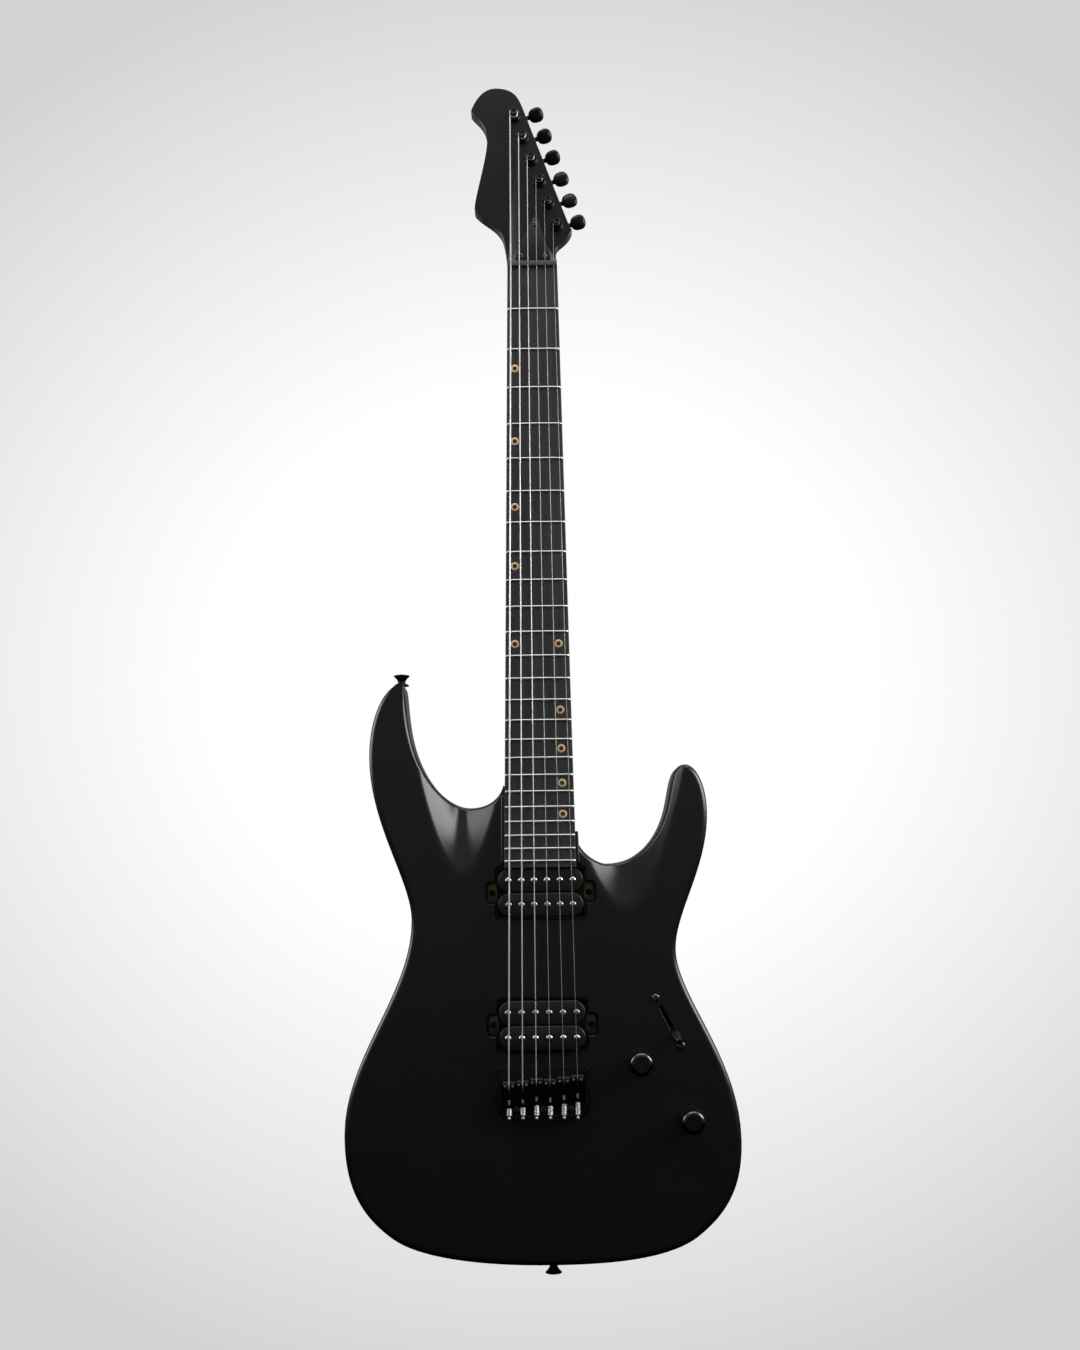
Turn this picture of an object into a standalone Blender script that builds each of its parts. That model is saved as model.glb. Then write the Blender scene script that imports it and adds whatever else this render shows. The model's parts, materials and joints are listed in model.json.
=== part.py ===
"""Electric guitar with a solid body, a bolt-on neck, in-line tuners and a fixed bridge.

Axes: +Z runs up the neck, the front faces -Y, and +X is the treble side.
The origin is on the flat back of the body, behind the bridge end of the string scale.
Sizes are in millimetres until add_object turns them into metres.
"""
import bpy
import bmesh
from math import atan2
from math import acos
from math import cos
from math import hypot
from math import pi
from math import radians
from math import sin
from math import tan
from mathutils import Matrix
from mathutils import Vector

MM = 0.001
GAP = 0.3
SMOOTH_ANGLE = radians(40)
BORE_SIDES = 12

# Depths, as y values: the back is 0 and the front is negative.
BACK = 0.0
FRONT = -42.0
EDGE_RADIUS = 4.5
BOARD_UNDERSIDE = -45.0
BOARD_TOP = -51.0
FRET_TOP = -52.2
HEAD_FACE = -41.0
HEAD_BACK = -28.5
POCKET_FLOOR = -26.0

# Neck, measured along z from the bridge end of the scale.
SCALE = 647.7
FRET_COUNT = 24
BOARD_END = 157.0
NUT_WIDTH = 41.0
LAST_FRET_WIDTH = 56.0
NUT_THICKNESS = 4.3
HEEL_START = 158.9
HEEL_DEPTH = POCKET_FLOOR - BOARD_UNDERSIDE - GAP
ROD_Y = -38.2
ROD_RADIUS = 2.3
ROD_START = 186.0

# Strings, from the thin treble string to the thick bass string.
STRING_RADII = [0.15, 0.18, 0.22, 0.33, 0.45, 0.58]
SADDLE_CRESTS = [-3.2, -4.4, -5.9, -5.3, -6.8, -7.6]
STRING_Y_NUT = -53.4
STRING_Y_SADDLE = -54.2
NUT_SPREAD = 35.4
SADDLE_PITCH = 10.5
WRAP_Y = -46.6
WRAP_TURNS = 1.5
BALL_RADIUS = 1.9

# Tuners: the first post carries the thin string and is nearest the nut.
FIRST_POST = (20.4, 687.9)
POST_STEP = (-6.86, 19.4)
TUNER_TILT = radians(-19.8)
WORM_PITCH = 1.0
GEAR_TEETH = 12
GEAR_RADIUS = WORM_PITCH * GEAR_TEETH / (2 * pi)
WORM_RADIUS = 1.5
WORM_OFFSET = GEAR_RADIUS + WORM_RADIUS
WORM_Y = -22.0
POST_TOP = -49.4
POST_RADIUS = 2.9
BUTTON_SPINS = [22, 0, 8, 35, 35, 35]
BUTTON_SIDES = 14
BUTTON_HALF_WIDTH = 6.3
BUTTON_HALF_THICKNESS = 3.5
BUTTON_START = 14.2
BUTTON_END = 27.4

# Scooped cutaways: centre x, tip z and the squared half-width per millimetre of length.
SCOOPS = {"bass": (-61.7, 154.0, 16.0), "treble": (66.3, 127.0, 24.5)}
SCOOP_SLOPE = 0.28

# Pickups: centre z of each, and the front of its coils.
PICKUPS = {"neck": (137.6, -47.0), "bridge": (36.0, -48.5)}
COIL_HALF_LENGTH = 33.2
COIL_WIDTH = 18.2
COIL_BOTTOM = -37.3
COIL_GAP = 0.8
ROUT_HALF_LENGTH = 35.6
ROUT_HALF_WIDTH = 20.8
ROUT_FLOOR = -29.5
EAR_ROUT_HALF_LENGTH = 43.2
EAR_ROUT_HALF_WIDTH = 8.8
EAR_ROUT_FLOOR = -29.0
BASE_HALF_LENGTH = 34.2
BASE_HALF_WIDTH = 18.8
BASE_FRONT = -34.0
BASE_BACK = -32.8
EAR_HALF_LENGTH = 42.0
EAR_HALF_WIDTH = 7.0
EAR_SCREW_X = 38.0

# Bridge.
PLATE_FLOOR = -45.0
RAIL_TOP = -51.0
PLATE_FRONT_END = 5.0
PLATE_REAR_END = -33.4
BAY_HALF_WIDTH = 32.2
BAY_REAR_END = -31.2
SADDLE_WIDTH = 9.8
SADDLE_FRONT_END = 3.0
SADDLE_REAR_END = -18.0
SADDLE_SLOT_END = -11.6
SADDLE_POCKET_END = -16.0
SCREW_TIP_BEHIND_CREST = 12.0
SCREW_Y = -48.6
HOLE_BEHIND_CREST = 9.0
STRING_BORE_RADIUS = 1.5
FERRULE_RADIUS = 4.0
FERRULE_DEPTH = -9.0

# Controls.
VOLUME = (75.2, 6.7)
TONE = (113.7, -36.9)
SWITCH = (97.6, 37.3)
SWITCH_RUN = radians(-62.7)
SWITCH_PIVOT_Y = -26.0
SWITCH_REST_TILT = radians(30)
SWITCH_SLOT_HALF_LENGTH = 13.2
SWITCH_SLOT_HALF_WIDTH = 1.5
# Switch cap: position along the lever, half size along the slot and across it.
SWITCH_CAP = [(-21.5, 3.0, 2.2), (-22.4, 3.9, 2.9), (-24.5, 4.0, 3.0), (-33.0, 2.7, 2.0)]
CONTROL_BORE_RADIUS = 4.6
CONTROL_BORE_FLOOR = -34.0
JACK_BORE_RADIUS = 6.2
CAVITY_CORNERS = [(76, 64), (62, 24), (62, -8), (104, -92), (126, -92), (135, -40), (120, 20), (100, 64)]
CAVITY_DEPTH = -36.0
CAVITY_CORNER_RADIUS = 9.0
COVER_LIP = 4.0
COVER_THICKNESS = 2.5
JACK = (141.9, -97.1)
JACK_TURN = radians(29.7)
JACK_FACE = 1.4
EDGE_MIDDLE = -21.0
NECK_PLATE_CORNERS = [(-24, 163), (24, 163), (24, 181), (-24, 209)]
NECK_PLATE_THICKNESS = 3.0
UPPER_STRAP = (-110.5, 304.9)
LOWER_STRAP = (6.1, -144.2)

# Outline nodes: x, z, heading in degrees, handle length before and after.
BODY_NODES = [
    (-28.5, 222.0, 256, 0, 10),
    (-53.5, 205.0, 180, 14, 22),
    (-101.0, 258.5, 104, 29, 25),
    (-109.0, 304.5, 180, 4, 12),
    (-135.0, 246.5, 270, 35, 54),
    (-101.5, 117.0, 270, 31, 56),
    (-153.5, -45.0, 270, 59, 41),
    (-116.0, -123.0, 325, 28, 28),
    (3.0, -143.5, 0, 42, 44),
    (117.5, -123.5, 37, 29, 29),
    (152.0, -52.5, 90, 34, 62),
    (105.0, 92.0, 90, 36, 29),
    (132.5, 199.5, 90, 44, 22),
    (115.5, 237.0, 180, 9, 10),
    (101.0, 205.5, 257, 16, 22),
    (51.5, 159.5, 180, 30, 4),
    (27.0, 188.5, 92, 22, 0),
]
HEAD_NODES = [
    (-20.5, 651.5, 90, 0, 4),
    (-25.0, 679.5, 119, 5, 11),
    (-44.0, 697.5, 135, 9, 4),
    (-47.5, 704.0, 86, 3, 11),
    (-36.5, 762.5, 89, 14, 17),
    (-50.0, 789.5, 113, 6, 0),
    (-29.0, 810.0, -1, 15, 16),
    (-6.0, 791.0, 290, 11, 0),
    (32.0, 685.5, 292, 11, 2),
    (32.5, 681.5, 246, 5, 8),
    (20.0, 667.0, 250, 5, 4),
    (20.5, 652.0, 270, 6, 0),
]

SATIN_BLACK = ((0.012, 0.013, 0.014), 0.42, 0.0)
MATTE_BLACK = ((0.015, 0.015, 0.016), 0.60, 0.0)
BLACK_METAL = ((0.020, 0.020, 0.022), 0.35, 0.8)
EBONY = ((0.030, 0.028, 0.027), 0.55, 0.0)
BRIGHT_STEEL = ((0.75, 0.75, 0.74), 0.25, 1.0)
PLAIN_STEEL = ((0.55, 0.56, 0.57), 0.28, 1.0)
BRASS = ((0.55, 0.40, 0.20), 0.40, 1.0)
NUT_GREY = ((0.10, 0.10, 0.10), 0.50, 0.0)


# ---------------------------------------------------------------- outlines


def bezier_path(nodes, steps):
    """Points along a smooth path through the nodes, each with a heading and two handles."""
    points = []
    for start, end in zip(nodes[:-1], nodes[1:]):
        a = Vector(start[:2])
        d = Vector(end[:2])
        b = a + start[4] * Vector((cos(radians(start[2])), sin(radians(start[2]))))
        c = d - end[3] * Vector((cos(radians(end[2])), sin(radians(end[2]))))
        for i in range(steps):
            t = i / steps
            s = 1 - t
            points.append(s ** 3 * a + 3 * s * s * t * b + 3 * s * t * t * c + t ** 3 * d)
    points.append(Vector(nodes[-1][:2]))
    return points


def rounded_polygon(corners, radius, steps=3):
    """A polygon whose corners are arcs of the given radius."""
    points = []
    count = len(corners)
    for i in range(count):
        corner = Vector(corners[i])
        before = (Vector(corners[i - 1]) - corner).normalized()
        after = (Vector(corners[(i + 1) % count]) - corner).normalized()
        half = acos(max(-1.0, min(1.0, before.dot(after)))) / 2
        centre = corner + (before + after).normalized() * (radius / sin(half))
        first = corner + before * (radius / tan(half)) - centre
        last = corner + after * (radius / tan(half)) - centre
        turn = atan2(first.cross(last), first.dot(last))
        for k in range(steps + 1):
            points.append(centre + Matrix.Rotation(turn * k / steps, 2) @ first)
    return points


def mirrored(right):
    """The corners on the right, taken upward, and their mirror images on the left, taken downward."""
    return right + [(-x, z) for x, z in reversed(right)]


def grow(corners, distance):
    """Moves each side of a counter-clockwise polygon outward by a distance."""
    grown = []
    count = len(corners)
    for i in range(count):
        here = Vector(corners[i])
        along = (here - Vector(corners[i - 1])).normalized()
        onward = (Vector(corners[(i + 1) % count]) - here).normalized()
        side = Vector((along.y, -along.x))
        next_side = Vector((onward.y, -onward.x))
        grown.append(here + (side + next_side) * (distance / (1 + side.dot(next_side))))
    return grown


def rectangle(x_low, x_high, z_low, z_high):
    return [(x_low, z_low), (x_high, z_low), (x_high, z_high), (x_low, z_high)]


def centred_box(half_length, half_width, z_centre):
    return rectangle(-half_length, half_length, z_centre - half_width, z_centre + half_width)


def stadium(half_length, width, z_centre, steps=6):
    """An outline with two straight sides and two round ends."""
    radius = width / 2
    points = []
    for side in (1, -1):
        for k in range(steps + 1):
            angle = -pi / 2 + pi * k / steps
            x = side * (half_length - radius + radius * cos(angle))
            points.append(Vector((x, z_centre + side * radius * sin(angle))))
    return points


# ---------------------------------------------------------------- solids


def skin(rings):
    """A closed bmesh through rings of points, all with the same number of points."""
    bm = bmesh.new()
    loops = [[bm.verts.new(point) for point in ring] for ring in rings]
    count = len(loops[0])
    for low, high in zip(loops[:-1], loops[1:]):
        for i in range(count):
            bm.faces.new((low[i], low[(i + 1) % count], high[(i + 1) % count], high[i]))
    bm.faces.new(loops[0])
    bm.faces.new(list(reversed(loops[-1])))
    bmesh.ops.recalc_face_normals(bm, faces=bm.faces[:])
    return bm


def prism(outline, y_front, y_back):
    """An outline in the x-z plane, extruded along y."""
    front = [(p[0], y_front, p[1]) for p in outline]
    back = [(p[0], y_back, p[1]) for p in outline]
    return skin([front, back])


def block(x_low, x_high, y_low, y_high, z_low, z_high):
    return prism(rectangle(x_low, x_high, z_low, z_high), y_low, y_high)


def turned(profile, sides, axis="y"):
    """A solid of revolution from (radius, position) pairs along the y or x axis."""
    rings = []
    for radius, position in profile:
        ring = []
        for i in range(sides):
            angle = 2 * pi * i / sides
            across = radius * cos(angle)
            up = radius * sin(angle)
            ring.append((across, position, up) if axis == "y" else (position, across, up))
        rings.append(ring)
    return skin(rings)


def merged(*parts):
    """One bmesh that holds several separate closed shapes, for use as a cutter."""
    bm = bmesh.new()
    for part in parts:
        mesh = bpy.data.meshes.new("part")
        part.to_mesh(mesh)
        part.free()
        bm.from_mesh(mesh)
        bpy.data.meshes.remove(mesh)
    return bm


def moved(bm, x=0.0, y=0.0, z=0.0, turn=0.0):
    """Turns a bmesh about y, then moves it."""
    bmesh.ops.transform(bm, matrix=Matrix.Rotation(turn, 4, "Y"), verts=bm.verts[:])
    bmesh.ops.translate(bm, vec=(x, y, z), verts=bm.verts[:])
    return bm


def laid_along_z(bm, x, y):
    """Turns a shape made along y so that it lies along z, and moves its axis to x and y."""
    bmesh.ops.transform(bm, matrix=Matrix.Rotation(pi / 2, 4, "X"), verts=bm.verts[:])
    bmesh.ops.translate(bm, vec=(x, y, 0), verts=bm.verts[:])
    return bm


def add_object(name, bm, finish=None, location=(0, 0, 0), turn=0.0):
    """Makes an object from a bmesh in millimetres, smooth-shaded, with its own material."""
    bmesh.ops.scale(bm, vec=(MM, MM, MM), verts=bm.verts[:])
    mesh = bpy.data.meshes.new(name)
    bm.to_mesh(mesh)
    bm.free()
    return place_mesh(name, mesh, finish, location, turn)


def place_mesh(name, mesh, finish=None, location=(0, 0, 0), turn=0.0):
    """Puts a mesh in the scene; a shared mesh keeps its own material slot on the object."""
    mesh.shade_smooth()
    mesh.set_sharp_from_angle(angle=SMOOTH_ANGLE)
    thing = bpy.data.objects.new(name, mesh)
    bpy.context.scene.collection.objects.link(thing)
    thing.location = Vector(location) * MM
    thing.rotation_euler = (0.0, turn, 0.0)
    if finish:
        if not mesh.materials:
            mesh.materials.append(None)
        thing.material_slots[0].link = "OBJECT"
        thing.material_slots[0].material = new_material(name, finish)
    return thing


def new_material(name, finish):
    color, roughness, metallic = finish
    material = bpy.data.materials.new(name + "_finish")
    material.use_nodes = True
    shader = material.node_tree.nodes["Principled BSDF"]
    shader.inputs["Base Color"].default_value = (*color, 1.0)
    shader.inputs["Roughness"].default_value = roughness
    shader.inputs["Metallic"].default_value = metallic
    material.diffuse_color = (*color, 1.0)
    return material


def apply_tool(target, name, bm, operation, location=(0, 0, 0), turn=0.0):
    """Cuts a shape out of the target, or joins it on, with a hidden tool object."""
    tool = add_object(name, bm, None, location, turn)
    tool.hide_render = True
    tool.display_type = "WIRE"
    modifier = target.modifiers.new(name, "BOOLEAN")
    modifier.operation = operation
    modifier.object = tool


def cut(target, name, bm):
    apply_tool(target, "cut_" + name, bm, "DIFFERENCE")


def join(target, name, bm):
    apply_tool(target, "join_" + name, bm, "UNION")


def baked(thing):
    """The finished mesh of an object with modifiers, so that copies can share it."""
    bpy.context.view_layer.update()
    evaluated = thing.evaluated_get(bpy.context.evaluated_depsgraph_get())
    mesh = bpy.data.meshes.new_from_object(evaluated)
    for modifier in thing.modifiers:
        bpy.data.objects.remove(modifier.object)
    bpy.data.objects.remove(thing)
    mesh.materials.clear()
    return mesh


# ---------------------------------------------------------------- places


def board_half_width(z):
    last_fret = SCALE * 2 ** (-FRET_COUNT / 12)
    return (NUT_WIDTH + (LAST_FRET_WIDTH - NUT_WIDTH) * (SCALE - z) / (SCALE - last_fret)) / 2


def string_x_nut(number):
    return NUT_SPREAD / 2 - (number - 1) * NUT_SPREAD / 5


def string_x_saddle(number):
    return SADDLE_PITCH * (3.5 - number)


def post_place(number):
    return (FIRST_POST[0] + POST_STEP[0] * (number - 1), FIRST_POST[1] + POST_STEP[1] * (number - 1))


def worm_place(number):
    x, z = post_place(number)
    return (x + WORM_OFFSET * sin(TUNER_TILT), WORM_Y, z + WORM_OFFSET * cos(TUNER_TILT))


def hole_z(number):
    return SADDLE_CRESTS[number - 1] - HOLE_BEHIND_CREST


def tapered_strip(z_low, z_high, margin):
    """An outline that follows the taper of the fretboard, wider on both sides by a margin."""
    low = board_half_width(z_low) + margin
    high = board_half_width(z_high) + margin
    return [(-low, z_low), (low, z_low), (high, z_high), (-high, z_high)]


# ---------------------------------------------------------------- body


def body_shell():
    """The rounded slab: the outline, pulled in along quarter-round front and back edges."""
    outline = bezier_path(BODY_NODES, 5)
    count = len(outline)
    normals = []
    for i in range(count):
        along = outline[(i + 1) % count] - outline[i - 1]
        normals.append(Vector((along.y, -along.x)).normalized())
    levels = []
    for angle in (0, 30, 60, 90):
        inset = EDGE_RADIUS * (1 - sin(radians(angle)))
        levels.append((EDGE_RADIUS * (1 - cos(radians(angle))), inset))
    levels += [(-FRONT - depth, inset) for depth, inset in reversed(levels)]
    rings = []
    for depth, inset in levels:
        rings.append([(p.x - n.x * inset, -depth, p.y - n.y * inset) for p, n in zip(outline, normals)])
    return skin(rings)


def scoop(centre_x, tip_z, spread):
    """A parabolic gouge that gets deeper towards the cutaway."""
    length_before = 12.0
    length_after = 150.0
    reach = 60.0
    lift = 14.0
    steps = 16
    lowest = FRONT - SCOOP_SLOPE * reach * reach / spread
    section = [(-reach, lowest - lift)]
    for i in range(steps + 1):
        across = reach * (2 * i / steps - 1)
        section.append((across, FRONT - SCOOP_SLOPE * across * across / spread))
    section.append((reach, lowest - lift))
    rings = []
    for along in (-length_before, length_after):
        shift = SCOOP_SLOPE * along
        rings.append([(centre_x + x, y + shift, tip_z + along) for x, y in section])
    return skin(rings)


def pickup_rout(centre_z):
    """The cavity for one pickup, with a wider middle for its mounting ears."""
    main = rounded_polygon(centred_box(ROUT_HALF_LENGTH, ROUT_HALF_WIDTH, centre_z), 4)
    ears = rounded_polygon(centred_box(EAR_ROUT_HALF_LENGTH, EAR_ROUT_HALF_WIDTH, centre_z), 4)
    above = FRONT - 8
    return prism(main, above, ROUT_FLOOR), prism(ears, above, EAR_ROUT_FLOOR)


def string_bores():
    """Bores for the strings, wider at the back for the ball ends."""
    profile = [(STRING_BORE_RADIUS, FRONT - 5), (STRING_BORE_RADIUS, FERRULE_DEPTH),
               (FERRULE_RADIUS, FERRULE_DEPTH), (FERRULE_RADIUS, 5)]
    bores = []
    for number in range(1, 7):
        bores.append(moved(turned(profile, BORE_SIDES), string_x_saddle(number), 0, hole_z(number)))
    return bores


def switch_slot_outline(half_length, half_width):
    corners = rectangle(-half_length, half_length, -half_width, half_width)
    turn = Matrix.Rotation(SWITCH_RUN, 2)
    return [turn @ Vector(corner) + Vector(SWITCH) for corner in corners]


def shoulder_rail(side, top):
    """A raised strip beside the fretboard that carries the body up to the board's height."""
    inner = board_half_width(HEEL_START) - 1
    low = HEEL_START - 1.2
    corners = [(inner, low), (inner + 4, low), (inner + 3, top), (inner - 1, top)]
    return prism([(side * x, z) for x, z in corners], BOARD_UNDERSIDE + 0.2, FRONT + 3)


def make_body():
    body = add_object("body", body_shell(), SATIN_BLACK)
    for name, (x, z, spread) in SCOOPS.items():
        cut(body, name + "_scoop", scoop(x, z, spread))
    join(body, "bass_rail", shoulder_rail(-1, 214.0))
    join(body, "treble_rail", shoulder_rail(1, 185.0))
    cut(body, "neck_pocket", prism(tapered_strip(HEEL_START - GAP, 240, GAP), FRONT - 8, POCKET_FLOOR))
    for name, (centre_z, _) in PICKUPS.items():
        main, ears = pickup_rout(centre_z)
        cut(body, name + "_rout", main)
        cut(body, name + "_ear_rout", ears)
    cut(body, "string_bores", merged(*string_bores()))
    cut(body, "control_cavity", prism(rounded_polygon(CAVITY_CORNERS, CAVITY_CORNER_RADIUS), CAVITY_DEPTH, 5))
    cover = rounded_polygon(grow(CAVITY_CORNERS, COVER_LIP), CAVITY_CORNER_RADIUS + COVER_LIP)
    cut(body, "cover_recess", prism(cover, -COVER_THICKNESS - GAP, 6))
    pot_bores = []
    for x, z in (VOLUME, TONE):
        walls = [(CONTROL_BORE_RADIUS, FRONT - 3), (CONTROL_BORE_RADIUS, CONTROL_BORE_FLOOR)]
        bore = turned(walls, BORE_SIDES)
        pot_bores.append(moved(bore, x, 0, z))
    cut(body, "pot_bores", merged(*pot_bores))
    slot = switch_slot_outline(SWITCH_SLOT_HALF_LENGTH, SWITCH_SLOT_HALF_WIDTH)
    cut(body, "switch_slot", prism(slot, FRONT - 3, CONTROL_BORE_FLOOR))
    jack_bore = turned([(JACK_BORE_RADIUS, -33), (JACK_BORE_RADIUS, 9)], 16, axis="x")
    cut(body, "jack_bore", moved(jack_bore, JACK[0], EDGE_MIDDLE, JACK[1], JACK_TURN))
    plate = rounded_polygon(grow(NECK_PLATE_CORNERS, GAP), 4 + GAP)
    cut(body, "plate_recess", prism(plate, -NECK_PLATE_THICKNESS - GAP, 5))


def make_neck_plate():
    outline = rounded_polygon(NECK_PLATE_CORNERS, 4)
    add_object("neck_plate", prism(outline, -NECK_PLATE_THICKNESS, BACK), BLACK_METAL)


def make_control_cover():
    lip = COVER_LIP - GAP
    edge = rounded_polygon(grow(CAVITY_CORNERS, lip), CAVITY_CORNER_RADIUS + lip)
    add_object("control_cover", prism(edge, -COVER_THICKNESS, BACK), MATTE_BLACK)


# ---------------------------------------------------------------- neck


def neck_section(z, half_width, top, depth, squareness):
    """A cross-section with a flat top and a rounded back; a high squareness gives a box."""
    steps = 12
    ring = []
    for i in range(steps + 1):
        angle = pi * i / steps
        across = abs(cos(angle)) ** (2 / squareness) * (1 if cos(angle) > 0 else -1)
        down = abs(sin(angle)) ** (2 / squareness)
        ring.append((half_width * across, top + depth * down, z))
    return ring


def neck_shaft():
    stations = [
        (HEEL_START, HEEL_DEPTH, 12),
        (212, HEEL_DEPTH, 12),
        (228, 17.2, 5),
        (244, 15.8, 2.7),
        (300, 15.0, 2.2),
        (460, 14.0, 2.1),
        (610, 13.2, 2.1),
        (636, 13.6, 2.2),
        (652.4, 15.3, 2.6),
    ]
    rings = []
    for z, depth, squareness in stations:
        rings.append(neck_section(z, board_half_width(z), BOARD_UNDERSIDE, depth, squareness))
    for z, back in ((652.6, -29.8), (664, -29.2)):
        rings.append(neck_section(z, 19.2, HEAD_FACE + 0.6, back - HEAD_FACE - 0.6, 3))
    return skin(rings)


def make_neck():
    neck = add_object("neck", neck_shaft(), SATIN_BLACK)
    join(neck, "headstock", prism(bezier_path(HEAD_NODES, 5), HEAD_FACE, HEAD_BACK))
    holes = []
    for number in range(1, 7):
        x, z = post_place(number)
        holes.append(moved(turned([(4.8, HEAD_FACE - 3), (4.8, HEAD_BACK + 3)], BORE_SIDES), x, 0, z))
    cut(neck, "post_holes", merged(*holes))
    channel_floor = ROD_Y + ROD_RADIUS + 0.9
    cut(neck, "rod_channel", block(-3.2, 3.2, BOARD_UNDERSIDE - 4, channel_floor, ROD_START - 2, 684))


def make_truss_rod():
    """The rod, with a thicker adjusting nut at its headstock end."""
    nut_radius = ROD_RADIUS + 0.5
    rod = turned([(ROD_RADIUS, ROD_START), (ROD_RADIUS, 668), (nut_radius, 668), (nut_radius, 676)], 8)
    add_object("truss_rod", laid_along_z(rod, 0, ROD_Y), PLAIN_STEEL)


def make_truss_rod_cover():
    corners = [(-15, 656.5), (16, 656.5), (10, 676), (5, 694), (1, 694), (-7, 676)]
    outline = rounded_polygon(corners, 1.5, 2)
    add_object("truss_rod_cover", prism(outline, HEAD_FACE - GAP - 1.8, HEAD_FACE - GAP), MATTE_BLACK)


def make_fretboard():
    """The tapered board and its frets, from one side profile drawn across the width."""
    profile = [(BOARD_UNDERSIDE - GAP, SCALE - GAP), (BOARD_TOP, SCALE - GAP)]
    for fret in range(1, FRET_COUNT + 1):
        z = SCALE * 2 ** (-fret / 12)
        profile += [(BOARD_TOP, z + 1.2), (FRET_TOP, z + 0.5), (FRET_TOP, z - 0.5), (BOARD_TOP, z - 1.2)]
    profile += [(BOARD_TOP, BOARD_END), (BOARD_UNDERSIDE - GAP, BOARD_END)]
    rings = []
    for side in (-1, 1):
        rings.append([(side * board_half_width(z), y, z) for y, z in profile])
    add_object("fretboard", skin(rings), EBONY)


def make_nut():
    half = board_half_width(SCALE) - 0.2
    top = STRING_Y_NUT - 0.4
    blank = block(-half, half, top, BOARD_UNDERSIDE - GAP, SCALE, SCALE + NUT_THICKNESS)
    nut = add_object("nut", blank, NUT_GREY)
    slots = []
    for number in range(1, 7):
        reach = STRING_RADII[number - 1] + GAP
        x = string_x_nut(number)
        slots.append(block(x - reach, x + reach, top - 2, STRING_Y_NUT + reach, SCALE - 3, SCALE + 9))
    cut(nut, "string_slots", merged(*slots))


# ---------------------------------------------------------------- strings


def tangent_angle(nut_x, nut_z, post, radius):
    """Where a string from the nut first touches the bass side of a circle round the post."""
    dx = nut_x - post[0]
    dz = nut_z - post[1]
    return atan2(dz, dx) - acos(radius / hypot(dx, dz))


def string_path(number):
    """From the ball end in the body, over the saddle and nut, and round the post."""
    x_low = string_x_saddle(number)
    x_high = string_x_nut(number)
    crest = SADDLE_CRESTS[number - 1]
    bore = hole_z(number)
    points = [(x_low, -7.0, bore), (x_low, PLATE_FLOOR - 0.3, bore)]
    points += [(x_low, STRING_Y_SADDLE, crest - 1.2), (x_low, STRING_Y_SADDLE, crest + 0.5)]
    points += [(x_high, STRING_Y_NUT, SCALE), (x_high, STRING_Y_NUT + 0.2, SCALE + NUT_THICKNESS)]
    post = post_place(number)
    radius = POST_RADIUS + GAP + STRING_RADII[number - 1]
    start = tangent_angle(x_high, SCALE + NUT_THICKNESS, post, radius)
    steps = 12
    fall = (2.6 * STRING_RADII[number - 1] + 0.2) * WRAP_TURNS
    for i in range(steps + 1):
        angle = start - 2 * pi * WRAP_TURNS * i / steps
        x = post[0] + radius * cos(angle)
        z = post[1] + radius * sin(angle)
        points.append((x, WRAP_Y + fall * i / steps, z))
    return [Vector(point) for point in points]


def wire(points, radius, sides):
    """A round wire along the points, with its rings carried smoothly from point to point."""
    rings = []
    across = Vector((1, 0, 0))
    for i, point in enumerate(points):
        before = points[max(i - 1, 0)]
        after = points[min(i + 1, len(points) - 1)]
        along = (after - before).normalized()
        across = (across - along * across.dot(along)).normalized()
        other = along.cross(across)
        ring = []
        for k in range(sides):
            angle = 2 * pi * k / sides
            ring.append(point + radius * (cos(angle) * across + sin(angle) * other))
        rings.append(ring)
    return rings


def make_string(number):
    rings = wire(string_path(number), STRING_RADII[number - 1], 5)
    foot = Vector((string_x_saddle(number), 0, hole_z(number)))
    reach = BALL_RADIUS / STRING_RADII[number - 1]
    ball = []
    for y in (-3.5, -6.4):
        ring = [foot + (p - foot) * reach for p in rings[0]]
        ball.append([Vector((p.x, y, p.z)) for p in ring])
    add_object("string_%d" % number, skin(ball + rings), BRIGHT_STEEL if number > 3 else PLAIN_STEEL)


# ---------------------------------------------------------------- tuners


def tuner_housing_mesh():
    """A die-cast case behind the headstock, with the threaded bushing through to the front."""
    outline = rounded_polygon(rectangle(-6.6, 7.4, -5.4, 8.0), 2.5, 2)
    housing = add_object("housing", prism(outline, HEAD_BACK + GAP, -17.6))
    bushing = [(5.2, HEAD_FACE - 2.6), (6.0, HEAD_FACE - 2.0), (6.0, HEAD_FACE - GAP), (4.5, HEAD_FACE - GAP),
               (4.5, HEAD_BACK + 1)]
    join(housing, "bushing", turned(bushing, BORE_SIDES))
    cut(housing, "gear_room", block(-4.2, 4.2, -25.2, -19.2, -3.9, 6.2))
    post_room = POST_RADIUS + GAP
    cut(housing, "post_bore", turned([(post_room, HEAD_FACE - 5), (post_room, WORM_Y - 1)], BORE_SIDES))
    shaft_bore = moved(turned([(1.9, 0), (1.9, 12)], BORE_SIDES, axis="x"), 0, WORM_Y, WORM_OFFSET)
    cut(housing, "shaft_bore", shaft_bore)
    return baked(housing)


def gear(y_front, y_back):
    """A toothed wheel; a tooth points straight at the worm, along local +Z."""
    points = []
    tip = 2.2
    root = 1.5
    half_tip = 0.15
    half_root = 0.33
    for tooth in range(GEAR_TEETH):
        middle = pi / 2 + 2 * pi * tooth / GEAR_TEETH
        for radius, offset in ((root, -half_root), (tip, -half_tip), (tip, half_tip), (root, half_root)):
            angle = middle + offset / radius
            points.append((radius * cos(angle), radius * sin(angle)))
    return prism(points, y_front, y_back)


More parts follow.
